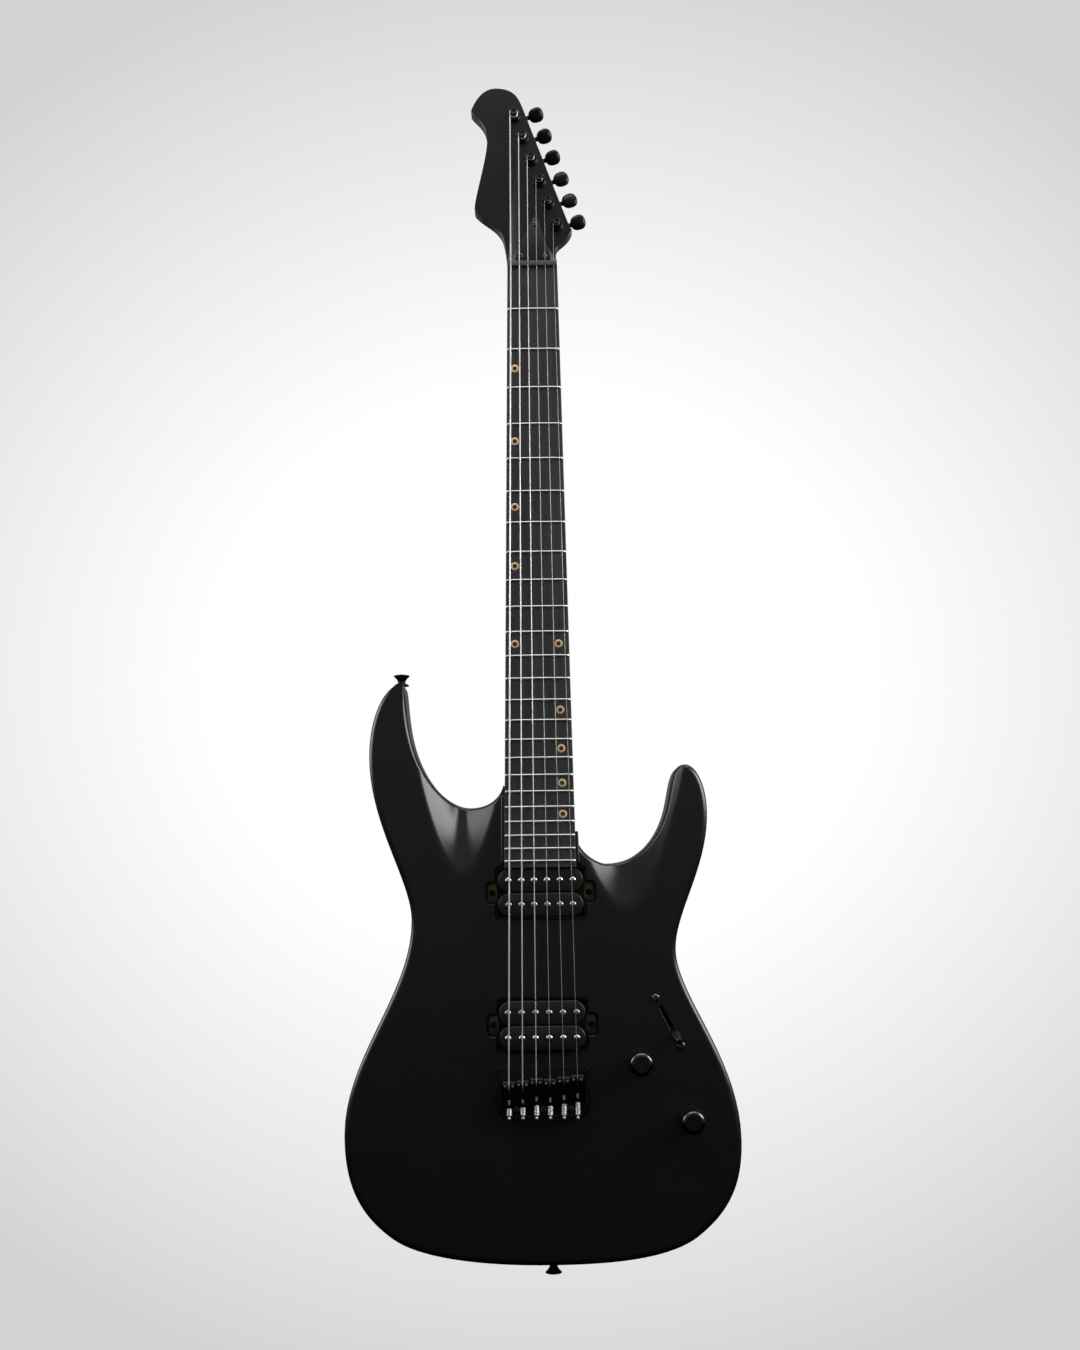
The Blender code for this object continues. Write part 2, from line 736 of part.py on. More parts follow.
def tuner_post_mesh():
    profile = [(2.3, POST_TOP), (POST_RADIUS, POST_TOP + 0.6), (POST_RADIUS, -48), (2.5, -47.4), (2.5, -44.4),
               (POST_RADIUS, -43.8), (POST_RADIUS, -25.7), (1.2, -25.2), (1.2, -20.6)]
    post = add_object("post", turned(profile, BORE_SIDES))
    join(post, "gear", gear(WORM_Y - 1.2, WORM_Y + 1.2))
    return baked(post)


def worm_rings():
    """A single-start thread: the radius depends on the angle and the distance along the shaft."""
    sides = 10
    rows_per_turn = 4
    turns = 4
    rings = []
    for row in range(turns * rows_per_turn + 1):
        position = WORM_PITCH * (row / rows_per_turn - turns / 2)
        ring = []
        for k in range(sides):
            angle = 2 * pi * k / sides
            phase = position / WORM_PITCH - (angle + pi / 2) / (2 * pi) + 0.5
            closeness = abs((phase % 1.0) - 0.5) * 2
            radius = 1.05 + 0.70 * max(0.0, closeness * 1.5 - 0.5)
            ring.append((position, radius * cos(angle), radius * sin(angle)))
        rings.append(ring)
    return rings


def oval_ring(position, half_y, half_z, sides):
    """An oval across the shaft, at a position along it."""
    ring = []
    for k in range(sides):
        angle = 2 * pi * k / sides
        ring.append((position, half_y * cos(angle), half_z * sin(angle)))
    return ring


def tuner_button_mesh(spin):
    """The worm, its shaft and the flat button, all turning together about local X."""
    rings = [oval_ring(-3.6, 1.05, 1.05, 10)] + worm_rings()
    for position, radius in ((3.2, 1.1), (3.4, 1.6), (BUTTON_START + 1, 1.6)):
        rings.append(oval_ring(position, radius, radius, 10))
    worm = add_object("worm", skin(rings))
    join(worm, "button", tuner_button(spin))
    return baked(worm)


def tuner_button(spin):
    """A flat rounded button on a short stem, turned about its shaft by the given angle."""
    middle = (BUTTON_START + BUTTON_END) / 2 + 0.4
    half_length = BUTTON_END - middle
    rings = []
    for position, radius in ((BUTTON_START, 1.9), (BUTTON_START + 1.4, 2.2)):
        rings.append(oval_ring(position, radius, radius, BUTTON_SIDES))
    for step in range(1, 8):
        along = -cos(pi * step / 8)
        swell = (1 - abs(along) ** 2.4) ** (1 / 2.2)
        half_thickness = BUTTON_HALF_THICKNESS * swell ** 0.7
        half_width = BUTTON_HALF_WIDTH * swell
        rings.append(oval_ring(middle + half_length * along, half_thickness, half_width, BUTTON_SIDES))
    button = skin(rings)
    turn = Matrix.Rotation(radians(spin), 4, "X")
    bmesh.ops.transform(button, matrix=turn, verts=button.verts[:])
    return button


def make_tuners():
    housing = tuner_housing_mesh()
    post = tuner_post_mesh()
    for number in range(1, 7):
        button = tuner_button_mesh(BUTTON_SPINS[number - 1])
        x, z = post_place(number)
        place_mesh("tuner_housing_%d" % number, housing, BLACK_METAL, (x, 0, z), TUNER_TILT)
        place_mesh("tuner_post_%d" % number, post, BLACK_METAL, (x, 0, z), TUNER_TILT)
        place_mesh("tuner_button_%d" % number, button, BLACK_METAL, worm_place(number), TUNER_TILT)


# ---------------------------------------------------------------- pickups


def make_pickup(name, centre_z, top):
    """The base plate with its mounting ears and magnet, and the two coils in front of it."""
    plate = rounded_polygon(centred_box(BASE_HALF_LENGTH, BASE_HALF_WIDTH, centre_z), 2, 1)
    base = add_object(name + "_pickup_base", prism(plate, BASE_FRONT, BASE_BACK), BRASS)
    ears = rounded_polygon(centred_box(EAR_HALF_LENGTH, EAR_HALF_WIDTH, centre_z), 2.5, 2)
    join(base, name + "_ears", prism(ears, BASE_FRONT + 0.1, BASE_BACK - 0.1))
    magnet = block(-31, 31, COIL_BOTTOM + GAP, BASE_FRONT + 0.5, centre_z - 6, centre_z + 6)
    join(base, name + "_magnet", magnet)
    ear_holes = []
    for x in (-EAR_SCREW_X, EAR_SCREW_X):
        ear_holes.append(moved(turned([(1.6, BASE_FRONT - 2), (1.6, BASE_BACK + 2)], 8), x, 0, centre_z))
    cut(base, name + "_ear_holes", merged(*ear_holes))
    offset = (COIL_WIDTH + COIL_GAP) / 2
    make_coil(name + "_pickup_upper_coil", centre_z + offset, top)
    make_coil(name + "_pickup_lower_coil", centre_z - offset, top)


def make_coil(name, centre_z, top):
    """A bobbin with its winding between two flanges, and six pole pieces."""
    winding_depth = 1.6
    levels = [
        (top, 0.5),
        (top + 0.6, 0.0),
        (top + 1.6, 0.0),
        (top + 1.8, winding_depth),
        (COIL_BOTTOM - 1.2, winding_depth),
        (COIL_BOTTOM - 1.0, 0.2),
        (COIL_BOTTOM, 0.2),
    ]
    rings = []
    for y, inset in levels:
        outline = stadium(COIL_HALF_LENGTH - inset, COIL_WIDTH - 2 * inset, centre_z)
        rings.append([(p.x, y, p.y) for p in outline])
    coil = add_object(name, skin(rings), MATTE_BLACK)
    pole = [(1.9, top - 0.8), (2.4, top - 0.4), (2.4, top + 1.0)]
    poles = [moved(turned(pole, 8), string_x_saddle(number), 0, centre_z) for number in range(1, 7)]
    join(coil, name + "_poles", merged(*poles))


# ---------------------------------------------------------------- bridge


def make_bridge_plate():
    """A thick plate with a bay for the saddles between two side rails and a rear wall."""
    right = [(30.2, PLATE_REAR_END), (34.4, -29.6), (36.6, -22.0), (36.6, -12.6), (34.9, -6.0),
             (34.9, PLATE_FRONT_END)]
    slab = prism(rounded_polygon(mirrored(right), 2.0, 2), RAIL_TOP, FRONT - GAP)
    plate = add_object("bridge_plate", slab, BLACK_METAL)
    bay_right = [(28.6, BAY_REAR_END), (BAY_HALF_WIDTH, -27.6), (BAY_HALF_WIDTH, PLATE_FRONT_END + 5)]
    cut(plate, "saddle_bay", prism(mirrored(bay_right), RAIL_TOP - 5, PLATE_FLOOR))
    holes = []
    for number in range(1, 7):
        x = string_x_saddle(number)
        string_bore = turned([(STRING_BORE_RADIUS, -49), (STRING_BORE_RADIUS, FRONT + 3)], 8)
        holes.append(moved(string_bore, x, 0, hole_z(number)))
        holes.append(laid_along_z(turned([(1.5, -40), (1.5, -28)], 8), x, SCREW_Y))
    cut(plate, "holes", merged(*holes))


def saddle_mesh():
    """A block with a crest, a slot for the string, a pocket and a rear wall for the screw."""
    half = SADDLE_WIDTH / 2
    low = PLATE_FLOOR - 0.4
    side = [(SADDLE_FRONT_END, low), (SADDLE_FRONT_END, -51.0), (0.9, -53.0), (-0.6, -53.0), (-1.8, -52.0),
            (-16.4, -51.6), (SADDLE_REAR_END, -51.0), (SADDLE_REAR_END, low)]
    rings = [[(x, y, z) for z, y in side] for x in (-half, half)]
    saddle = add_object("saddle", skin(rings))
    cut(saddle, "slot", block(-1.3, 1.3, -60, -40, SADDLE_SLOT_END - 1, -1.8))
    cut(saddle, "pocket", block(-2.5, 2.5, -60, -40, SADDLE_POCKET_END, SADDLE_SLOT_END))
    cut(saddle, "rear_bore", laid_along_z(turned([(1.5, -20), (1.5, -14)], 8), 0, SCREW_Y))
    return baked(saddle)


def make_saddles():
    mesh = saddle_mesh()
    for number in range(1, 7):
        place = (string_x_saddle(number), 0, SADDLE_CRESTS[number - 1])
        place_mesh("saddle_%d" % number, mesh, BLACK_METAL, place)


def make_intonation_screw(number):
    """A screw whose head rests behind the plate's rear wall and whose shank enters the saddle."""
    tip = SADDLE_CRESTS[number - 1] - SCREW_TIP_BEHIND_CREST
    seat = PLATE_REAR_END - GAP
    screw = turned([(1.7, -35.9), (2.3, -35.2), (2.3, seat), (1.1, seat), (1.1, tip)], 10)
    place = (string_x_saddle(number), SCREW_Y, 0)
    add_object("intonation_screw_%d" % number, laid_along_z(screw, 0, 0), BRIGHT_STEEL, place)


# ---------------------------------------------------------------- controls


def make_knob(name, place):
    """A knob with a chamfered top, and the potentiometer shaft that turns with it."""
    profile = [(6.6, FRONT - 17.5), (7.9, FRONT - 16.8), (8.9, FRONT - 14.6), (9.0, FRONT - 1.0),
               (8.6, FRONT - 0.6), (3.0, FRONT - 0.6), (3.0, -30.4)]
    add_object(name + "_knob", turned(profile, 24), BLACK_METAL, (place[0], 0, place[1]))


def make_pot(name, place):
    """The metal can inside the cavity and the threaded bushing up through the front."""
    can = [(4.3, FRONT + 0.4), (4.3, CAVITY_DEPTH + 0.6), (11.4, CAVITY_DEPTH + 0.6), (11.4, -26.0)]
    pot = add_object(name + "_pot", turned(can, 16), PLAIN_STEEL, (place[0], 0, place[1]))
    bore = moved(turned([(3.3, FRONT - 2), (3.3, -30.0)], BORE_SIDES), place[0], 0, place[1])
    cut(pot, name + "_pot_bore", bore)


def rounded_ring(y, half_x, half_z):
    """A rectangle across the lever with its corners rounded off."""
    corners = centred_box(half_x, half_z, 0.0)
    return [(x, y, z) for x, z in rounded_polygon(corners, half_z * 0.6)]


def make_switch():
    """A blade switch: its frame hangs in the cavity and its lever swings along the slot."""
    place = (SWITCH[0], SWITCH_PIVOT_Y, SWITCH[1])
    frame = add_object("switch_body", block(-20.5, 20.5, -8.6, 6.0, -5, 5), PLAIN_STEEL, place, -SWITCH_RUN)
    gap = block(-18.5, 18.5, -12, 4.0, -1.3, 1.3)
    apply_tool(frame, "cut_switch_gap", gap, "DIFFERENCE", location=place, turn=-SWITCH_RUN)
    blade = block(-2.0, 2.0, -23, 2.0, -0.7, 0.7)
    cap = skin([rounded_ring(y, half_x, half_z) for y, half_x, half_z in SWITCH_CAP])
    tilt = Matrix.Rotation(SWITCH_REST_TILT, 3, "Z")
    for shape in (blade, cap):
        bmesh.ops.rotate(shape, cent=(0, 0, 0), matrix=tilt, verts=shape.verts[:])
    lever = add_object("switch_lever", blade, BLACK_METAL, place, -SWITCH_RUN)
    apply_tool(lever, "join_switch_cap", cap, "UNION", location=place, turn=-SWITCH_RUN)


def make_output_jack():
    """A barrel jack: a flange on the body's edge and a bore for a 6.35 mm plug."""
    profile = [(7.5, JACK_FACE), (8.1, JACK_FACE - 0.5), (8.1, 0.4), (5.8, 0.4), (5.8, -28)]
    place = (JACK[0], EDGE_MIDDLE, JACK[1])
    jack = add_object("output_jack", turned(profile, 16, axis="x"), BLACK_METAL, place, JACK_TURN)
    bore = turned([(3.25, 6), (3.25, -24)], BORE_SIDES, axis="x")
    cut(jack, "plug_bore", moved(bore, *place, JACK_TURN))


def make_strap_button(name, place, turn):
    profile = [(5.4, 0.5), (5.4, 1.2), (3.2, 2.0), (3.0, 3.4), (4.4, 5.6), (6.2, 7.8), (6.2, 8.5), (5.4, 8.9)]
    button = turned(profile, 16, axis="x")
    add_object("strap_button_" + name, button, BLACK_METAL, (place[0], EDGE_MIDDLE, place[1]), turn)


def main():
    for thing in list(bpy.data.objects):
        bpy.data.objects.remove(thing)
    make_body()
    make_neck_plate()
    make_control_cover()
    make_neck()
    make_truss_rod()
    make_truss_rod_cover()
    make_fretboard()
    make_nut()
    make_tuners()
    for name, (centre_z, top) in PICKUPS.items():
        make_pickup(name, centre_z, top)
    make_bridge_plate()
    make_saddles()
    for number in range(1, 7):
        make_intonation_screw(number)
        make_string(number)
    for name, place in (("volume", VOLUME), ("tone", TONE)):
        make_knob(name, place)
        make_pot(name, place)
    make_switch()
    make_output_jack()
    make_strap_button("upper", UPPER_STRAP, radians(-90))
    make_strap_button("lower", LOWER_STRAP, radians(90))


main()
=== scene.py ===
"""Finished surfaces, small fasteners, materials and lighting for an electric guitar.

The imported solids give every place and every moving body. Lengths in this file are in
millimetres until add_piece turns them into metres. +Z runs up the neck, the front
faces -Y and +X is the treble side.
"""
import json
from math import acos, atan2, copysign, cos, hypot, pi, radians, sin, tan

import bmesh
import bpy
from mathutils import Matrix, Vector
from mathutils.geometry import delaunay_2d_cdt


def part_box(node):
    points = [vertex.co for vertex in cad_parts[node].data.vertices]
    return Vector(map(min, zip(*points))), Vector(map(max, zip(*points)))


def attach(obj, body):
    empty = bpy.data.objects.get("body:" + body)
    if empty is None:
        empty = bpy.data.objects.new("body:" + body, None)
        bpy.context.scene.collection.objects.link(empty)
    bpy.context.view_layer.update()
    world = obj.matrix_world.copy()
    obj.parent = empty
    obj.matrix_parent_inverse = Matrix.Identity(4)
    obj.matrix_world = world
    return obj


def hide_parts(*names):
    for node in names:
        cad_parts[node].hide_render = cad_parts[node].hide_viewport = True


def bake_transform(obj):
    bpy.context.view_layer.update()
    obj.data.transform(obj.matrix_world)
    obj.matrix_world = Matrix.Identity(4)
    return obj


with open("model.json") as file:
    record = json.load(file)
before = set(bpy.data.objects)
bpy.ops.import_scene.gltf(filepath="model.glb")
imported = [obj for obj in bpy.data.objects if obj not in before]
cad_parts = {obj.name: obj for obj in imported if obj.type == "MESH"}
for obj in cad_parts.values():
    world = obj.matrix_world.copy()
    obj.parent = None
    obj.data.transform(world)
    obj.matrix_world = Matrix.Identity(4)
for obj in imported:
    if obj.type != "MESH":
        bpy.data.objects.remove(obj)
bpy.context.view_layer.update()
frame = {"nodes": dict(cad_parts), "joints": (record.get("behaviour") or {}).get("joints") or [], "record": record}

MM = 0.001
ROOT = "body_and_neck"
STRINGS = range(1, 7)
JOINTS = {joint["name"]: joint for joint in frame["joints"]}
MOUNTS = {mount["name"]: mount for mount in frame["record"]["mounts"]}

# Depths along y, where the back of the body is 0, and the sizes of rounded edges.
FRONT = -42.0
EDGE_RADIUS = 4.5
EDGE_STEPS = 9
# The flat face starts GUARD inside the rounded edge, the edge comes in less where a scoop thins
# the body, and how far it comes in changes by at most REACH_SLOPE along the outline.
GUARD = 0.8
SCOOP_EDGE_THINNING = 2.2
REACH_SLOPE = 0.22
BOARD_UNDERSIDE = -45.0
BOARD_TOP = -51.3
BOARD_RADIUS = 400.0
HEAD_FACE = -41.0
HEAD_BACK = -28.5
HEAD_CHAMFER = 1.9
POCKET_FLOOR = -26.0
CAVITY_TOP = -36.0
EDGE_MIDDLE = -21.0
GAP = 0.3

# Radii of bores, and where the ferrules' wider bores begin.
STRING_HOLE = 1.5
FERRULE_BORE = 3.9
FERRULE_SEAT = -9.0
KNOB_BORE = 4.6
JACK_BORE = 6.2
TUNER_BORE = 4.8
INTONATION_BORE = 1.5

# Neck and strings.
SCALE = 647.7
FRET_COUNT = 24
BOARD_END = 157.0
HEEL_START = 158.9
LEFT_RAIL_TOP = 214.0
RIGHT_RAIL_TOP = 185.0
SHAFT_END = 652.4
HEAD_DROP = 7.5
TRUSS_CHANNEL = (184.0, 684.0)
TRUSS_CHANNEL_HALF = 3.2
TRUSS_CHANNEL_FLOOR = -35.0
NUT_WIDTH = 41.0
LAST_FRET_WIDTH = 56.0
NUT_THICKNESS = 4.3
NUT_SPREAD = 35.4
FRET_HALF = 1.0
FRET_HEIGHT = 1.0
STRING_RADII = [0.15, 0.18, 0.22, 0.33, 0.45, 0.58]
STRING_Y_NUT = -53.4
STRING_Y_SADDLE = -54.2
POST_WAIST = 2.55
TREBLE_WINDINGS = 2.6
BASS_WINDINGS = 1.8
WRAP_Y = -46.6
WRAP_PITCH = 0.4
BASS_INLAY_FRETS = (3, 5, 7, 9, 12)
TREBLE_INLAY_FRETS = (12, 15, 17, 19, 21)
BASS_INLAY_SHARE = -0.705
TREBLE_INLAY_SHARE = 0.665
SIDE_DOT_Y = -48.3
SIDE_DOT_FRETS = (3, 5, 7, 9, 12, 15, 17, 19, 21, 24)
# Neck sections: z, depth below the board and how square the section is.
NECK_STATIONS = [(HEEL_START, 18.7, 12), (212, 18.7, 12), (244, 15.8, 2.7), (300, 15.0, 2.2),
                 (460, 14.0, 2.1), (610, 13.2, 2.1), (636, 13.6, 2.2), (SHAFT_END, 15.3, 2.6)]

# Scooped cutaways: centre x, tip z and squared half-width per millimetre of length.
SCOOPS = ((-61.7, 154.0, 14.5), (66.3, 126.0, 23.0))
SCOOP_SLOPE = 0.30
SCOOP_EASING = 0.25
SCOOP_SOFTNESS = 1.1
RIM_BAND = 12.0
FACE_SPACING = 1.3

# Outline nodes: x, z, heading in degrees, handle length before and after.
BODY_NODES = [
    (-28.5, 222.0, 256, 0, 10),
    (-53.5, 205.0, 180, 14, 22),
    (-101.0, 258.5, 104, 29, 25),
    (-109.0, 304.5, 180, 4, 12),
    (-135.0, 246.5, 270, 35, 54),
    (-101.5, 117.0, 270, 31, 56),
    (-153.5, -45.0, 270, 59, 41),
    (-116.0, -123.0, 325, 28, 28),
    (3.0, -143.5, 0, 42, 44),
    (117.5, -123.5, 37, 29, 29),
    (152.0, -52.5, 90, 34, 62),
    (105.0, 92.0, 90, 36, 29),
    (132.5, 199.5, 90, 44, 22),
    (115.5, 237.0, 180, 9, 10),
    (101.0, 205.5, 257, 16, 22),
    (51.5, 159.5, 180, 30, 4),
    (27.0, 188.5, 92, 22, 0),
]
HEAD_NODES = [
    (-20.5, 651.5, 90, 0, 4),
    (-25.0, 679.5, 119, 5, 11),
    (-44.0, 697.5, 135, 9, 4),
    (-47.5, 704.0, 86, 3, 11),
    (-36.5, 762.5, 89, 14, 17),
    (-50.0, 789.5, 113, 6, 0),
    (-29.0, 810.0, -1, 15, 16),
    (-6.0, 791.0, 290, 11, 0),
    (32.0, 685.5, 292, 11, 2),
    (32.5, 681.5, 246, 5, 8),
    (20.0, 667.0, 250, 5, 4),
    (20.5, 652.0, 270, 6, 0),
]

# Pickups.
POLE_SPACING = {"neck": 10.05, "bridge": 10.6}
POLE_RADIUS = 2.4
SLOT_TURN = radians(8)
EAR_SCREW_X = 38.0
COIL_HALF_LENGTH = 33.2
COIL_WIDTH = 18.2
POLE_RISE = 0.8
# Half sizes along x and z, and depths, of the base plate, its ears and the routs they sit in.
BASE_PLATE = (34.2, 18.8)
BASE_THICKNESS = 1.2
MAGNET_HALF_LENGTH = 31.0
MAGNET_HALF_WIDTH = 6.0
BASE_EAR = (4.0, 7.0)
ROUT = (35.6, 20.8)
ROUT_FLOOR = -29.5
EAR_ROUT = (43.2, 8.8)
EAR_ROUT_FLOOR = -29.0
ROUT_CORNER = 4.0

# Bridge. What starts with SADDLE or ends with BEHIND_CREST is measured along z from a saddle's crest,
# apart from the half width and the underside.
BRIDGE_FLOOR = -45.0
MOUNTING_SCREW_XS = (-21.0, 0.0, 21.0)
MOUNTING_SCREW_Z = -27.2
SPRING_START = -30.9
SPRING_RADIUS = 2.0
SPRING_WIRE = 0.28
HOLE_BEHIND_CREST = 9.0
SADDLE_FRONT_END = 3.0
SADDLE_REAR_END = -18.0
SADDLE_SLOT = (-12.6, -1.8)
SADDLE_POCKET = (-16.0, -11.6)
SADDLE_HALF_WIDTH = 4.9
SADDLE_UNDERSIDE = -45.4
HEIGHT_SCREW_X = 2.95
HEIGHT_SCREW_BEHIND_CREST = 0.9

# Body hardware that has no joint of its own.
CAVITY_CORNERS = [(76, 64), (62, 24), (62, -8), (104, -92), (126, -92), (135, -40), (120, 20), (100, 64)]
CAVITY_RADIUS = 9.0
COVER_LIP = 4.0
COVER_THICKNESS = 2.5
NECK_PLATE_CORNERS = [(-24, 163), (24, 163), (24, 181), (-24, 209)]
NECK_PLATE_THICKNESS = 3.0
NECK_BOLTS = [(-18, 169), (18, 169), (18, 180.5), (-18, 199.5)]
JACK_FACE = 1.4
STRAP_BUTTON_LENGTH = 8.9

# Switch. The cap: position along the lever, half size along the slot and across it.
SWITCH_RUN = radians(-62.7)
SWITCH_REST_TILT = radians(30)
SWITCH_SCREW_OFFSET = 20.6
SWITCH_CAP = [(-21.4, 2.6, 2.4), (-21.6, 3.3, 3.0), (-22.2, 3.8, 3.5), (-23.4, 4.0, 3.7),
              (-25.0, 3.85, 3.6), (-29.0, 3.1, 2.9), (-32.0, 2.75, 2.4), (-32.7, 2.4, 2.1), (-33.0, 1.7, 1.5)]

# Tuners: the back of the housing's ear, each button's turn, its stem's profile and its oval grip.
EAR_BACK = HEAD_BACK + 2.6
BUTTON_SPINS = [22, 0, 8, 35, 35, 35]
BUTTON_STEM = [(4.2, 1.6), (10.8, 1.6), (10.9, 2.3), (11.7, 2.4), (12.3, 1.95), (13.7, 1.85), (14.3, 2.2)]
BUTTON_START = 14.6
BUTTON_END = 27.5
BUTTON_HALF_WIDTH = 6.2
BUTTON_HALF_THICKNESS = 3.2

# Studio surroundings: elevation in degrees and brightness.
SKY_STOPS = [(-90, 0.0), (-14, 0.0), (-5, 0.035), (3, 0.15), (22, 0.14), (36, 0.22), (60, 0.7), (90, 0.6)]
SKY_STRENGTH = 1.5

# Camera, in metres and degrees, as the photo's perspective gives it.
CAMERA_PLACE = (0.0018, -1.282, 0.1353)
CAMERA_PITCH = 8.0
CAMERA_ROLL = -0.78
CAMERA_LENS = 41.82


# ---------- places


def node_box(node):
    low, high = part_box(node)
    return low / MM, high / MM


def node_centre(node):
    low, high = node_box(node)
    return (low + high) / 2


def joint_place(name):
    return Vector(JOINTS[name]["pos_m"]) / MM


def edge_mount(name):
    """A mount on the body's edge: its place, its outward direction and its turn about y."""
    direction = Vector(MOUNTS[name]["axis"])
    return Vector(MOUNTS[name]["pos_m"]) / MM, direction, atan2(-direction.z, direction.x)


def fret_z(fret):
    return SCALE * 2 ** (-fret / 12)


def between_frets(fret):
    return (fret_z(fret) + fret_z(fret - 1)) / 2


def board_half_width(z):
    widening = (SCALE - z) / (SCALE - fret_z(FRET_COUNT))
    return (NUT_WIDTH + (LAST_FRET_WIDTH - NUT_WIDTH) * widening) / 2


def board_surface(x):
    return BOARD_TOP + x * x / (2 * BOARD_RADIUS)


def is_wound(number):
    return number > 3


def string_x_nut(number):
    return NUT_SPREAD / 2 - (number - 1) * NUT_SPREAD / 5


def string_x_saddle(number):
    return node_centre(f"saddle_{number}").x


def saddle_crest(number):
    """The z where the string leaves its saddle, a little behind the saddle's front face."""
    return node_box(f"saddle_{number}")[1].z - SADDLE_FRONT_END


def bore_z(number):
    return saddle_crest(number) - HOLE_BEHIND_CREST


def mix(low, high, share):
    return low + (high - low) * share


def smooth(share):
    share = max(0.0, min(1.0, share))
    return share * share * (3 - 2 * share)


# ---------- outlines


def mirrored(right):
    """The corners on the right, taken upward, and their mirror images on the left, taken downward."""
    return right + [(-x, z) for x, z in reversed(right)]


def bezier_path(nodes, steps):
    """Points along a smooth path through the nodes."""
    points = []
    for start, end in zip(nodes[:-1], nodes[1:]):
        a = Vector(start[:2])
        d = Vector(end[:2])
        b = a + start[4] * Vector((cos(radians(start[2])), sin(radians(start[2]))))
        c = d - end[3] * Vector((cos(radians(end[2])), sin(radians(end[2]))))
        for i in range(steps):
            t = i / steps
            s = 1 - t
            points.append(s ** 3 * a + 3 * s * s * t * b + 3 * s * t * t * c + t ** 3 * d)
    return points + [Vector(nodes[-1][:2])]


def rounded_polygon(corners, radius, steps=8):
    points = []
    for i, here in enumerate(corners):
        corner = Vector(here)
        before = (Vector(corners[i - 1]) - corner).normalized()
        after = (Vector(corners[(i + 1) % len(corners)]) - corner).normalized()
        half = acos(max(-1.0, min(1.0, before.dot(after)))) / 2
        centre = corner + (before + after).normalized() * (radius / sin(half))
        first = corner + before * (radius / tan(half)) - centre
        last = corner + after * (radius / tan(half)) - centre
        turn = atan2(first.cross(last), first.dot(last))
        for k in range(steps + 1):
            points.append(centre + Matrix.Rotation(turn * k / steps, 2) @ first)
    return points


def offset(points, distance):
    """Moves a counter-clockwise closed line outward along its averaged normals."""
    moved = []
    for i, point in enumerate(points):
        here = Vector(point)
        along = (here - Vector(points[i - 1])).normalized()
        onward = (Vector(points[(i + 1) % len(points)]) - here).normalized()
        side = Vector((along.y, -along.x))
        next_side = Vector((onward.y, -onward.x))
        moved.append(here + (side + next_side) * (distance / max(1 + side.dot(next_side), 0.5)))
    return moved


def rectangle(x_low, x_high, z_low, z_high):
    return [(x_low, z_low), (x_high, z_low), (x_high, z_high), (x_low, z_high)]


def centred_box(half_length, half_width, x=0.0, z=0.0):
    return rectangle(x - half_length, x + half_length, z - half_width, z + half_width)


def stadium(half_length, width, z_centre, steps):
    radius = width / 2
    points = []
    for side in (1, -1):
        for k in range(steps + 1):
            angle = -pi / 2 + pi * k / steps
            x = side * (half_length - radius + radius * cos(angle))
            points.append(Vector((x, z_centre + side * radius * sin(angle))))
    return points


# ---------- meshes


def skin(rings, loop=False):
    """A closed bmesh through rings of points that all have the same number of points."""
    bm = bmesh.new()
    loops = [[bm.verts.new(point) for point in ring] for ring in rings]
    count = len(loops[0])
    pairs = list(zip(loops[:-1], loops[1:]))
    if loop:
        pairs.append((loops[-1], loops[0]))
    for low, high in pairs:
        for i in range(count):
            bm.faces.new((low[i], low[(i + 1) % count], high[(i + 1) % count], high[i]))
    if not loop:
        bm.faces.new(loops[0])
        bm.faces.new(list(reversed(loops[-1])))
    bmesh.ops.recalc_face_normals(bm, faces=bm.faces[:])
    return bm


def prism(outline, y_front, y_back):
    return skin([[(p[0], y, p[1]) for p in outline] for y in (y_front, y_back)])


def stepped_prism(outline, levels):
    """A prism along y whose outline is pushed outward by a distance at each level."""
    rings = []
    for y, distance in levels:
        points = offset(outline, distance) if distance else outline
        rings.append([(p[0], y, p[1]) for p in points])
    return skin(rings)


def block(x_low, x_high, y_low, y_high, z_low, z_high):
    return prism(rectangle(x_low, x_high, z_low, z_high), y_low, y_high)


def circles(profile, sides, axis):
    """One ring of points round x, y or z for each (radius, position) pair."""
    rings = []
    for radius, position in profile:
        ring = []
        for i in range(sides):
            across = radius * cos(2 * pi * i / sides)
            up = radius * sin(2 * pi * i / sides)
            point = {"y": (across, position, up), "x": (position, across, up), "z": (across, up, position)}
            ring.append(point[axis])
        rings.append(ring)
    return rings


def turned(profile, sides=48, axis="y"):
    """A solid of revolution."""
    return skin(circles(profile, sides, axis))


def rod(radius, start, end, x=0.0, y=0.0, z=0.0, turn=0.0, axis="y", sides=48):
    """A plain round rod or bore cutter, moved to its place."""
    return put(turned([(radius, start), (radius, end)], sides, axis), x, y, z, turn)


def ring_solid(profile, sides, axis="y"):
    """A turned ring whose profile closes on itself, so it has a hole through it."""
    return skin(circles(profile, sides, axis), loop=True)


def rounded_profile(corners, radius, steps=4):
    """Profile points with the inner corners of a (radius, position) line rounded off."""
    points = [Vector(corners[0])]
    for before, corner, after in zip(corners[:-2], corners[1:-1], corners[2:]):
        middle = Vector(corner)
        to_before = Vector(before) - middle
        to_after = Vector(after) - middle
        reach = min(radius, to_before.length * 0.45, to_after.length * 0.45)
        first = middle + to_before.normalized() * reach
        last = middle + to_after.normalized() * reach
        for k in range(steps + 1):
            t = k / steps
            points.append((1 - t) ** 2 * first + 2 * t * (1 - t) * middle + t * t * last)
    points.append(Vector(corners[-1]))
    return points


def eased(corners, radius, sides, axis="y", steps=4):
    """A solid of revolution with the inner corners of its profile rounded off."""
    return turned(rounded_profile(corners, radius, steps), sides, axis)


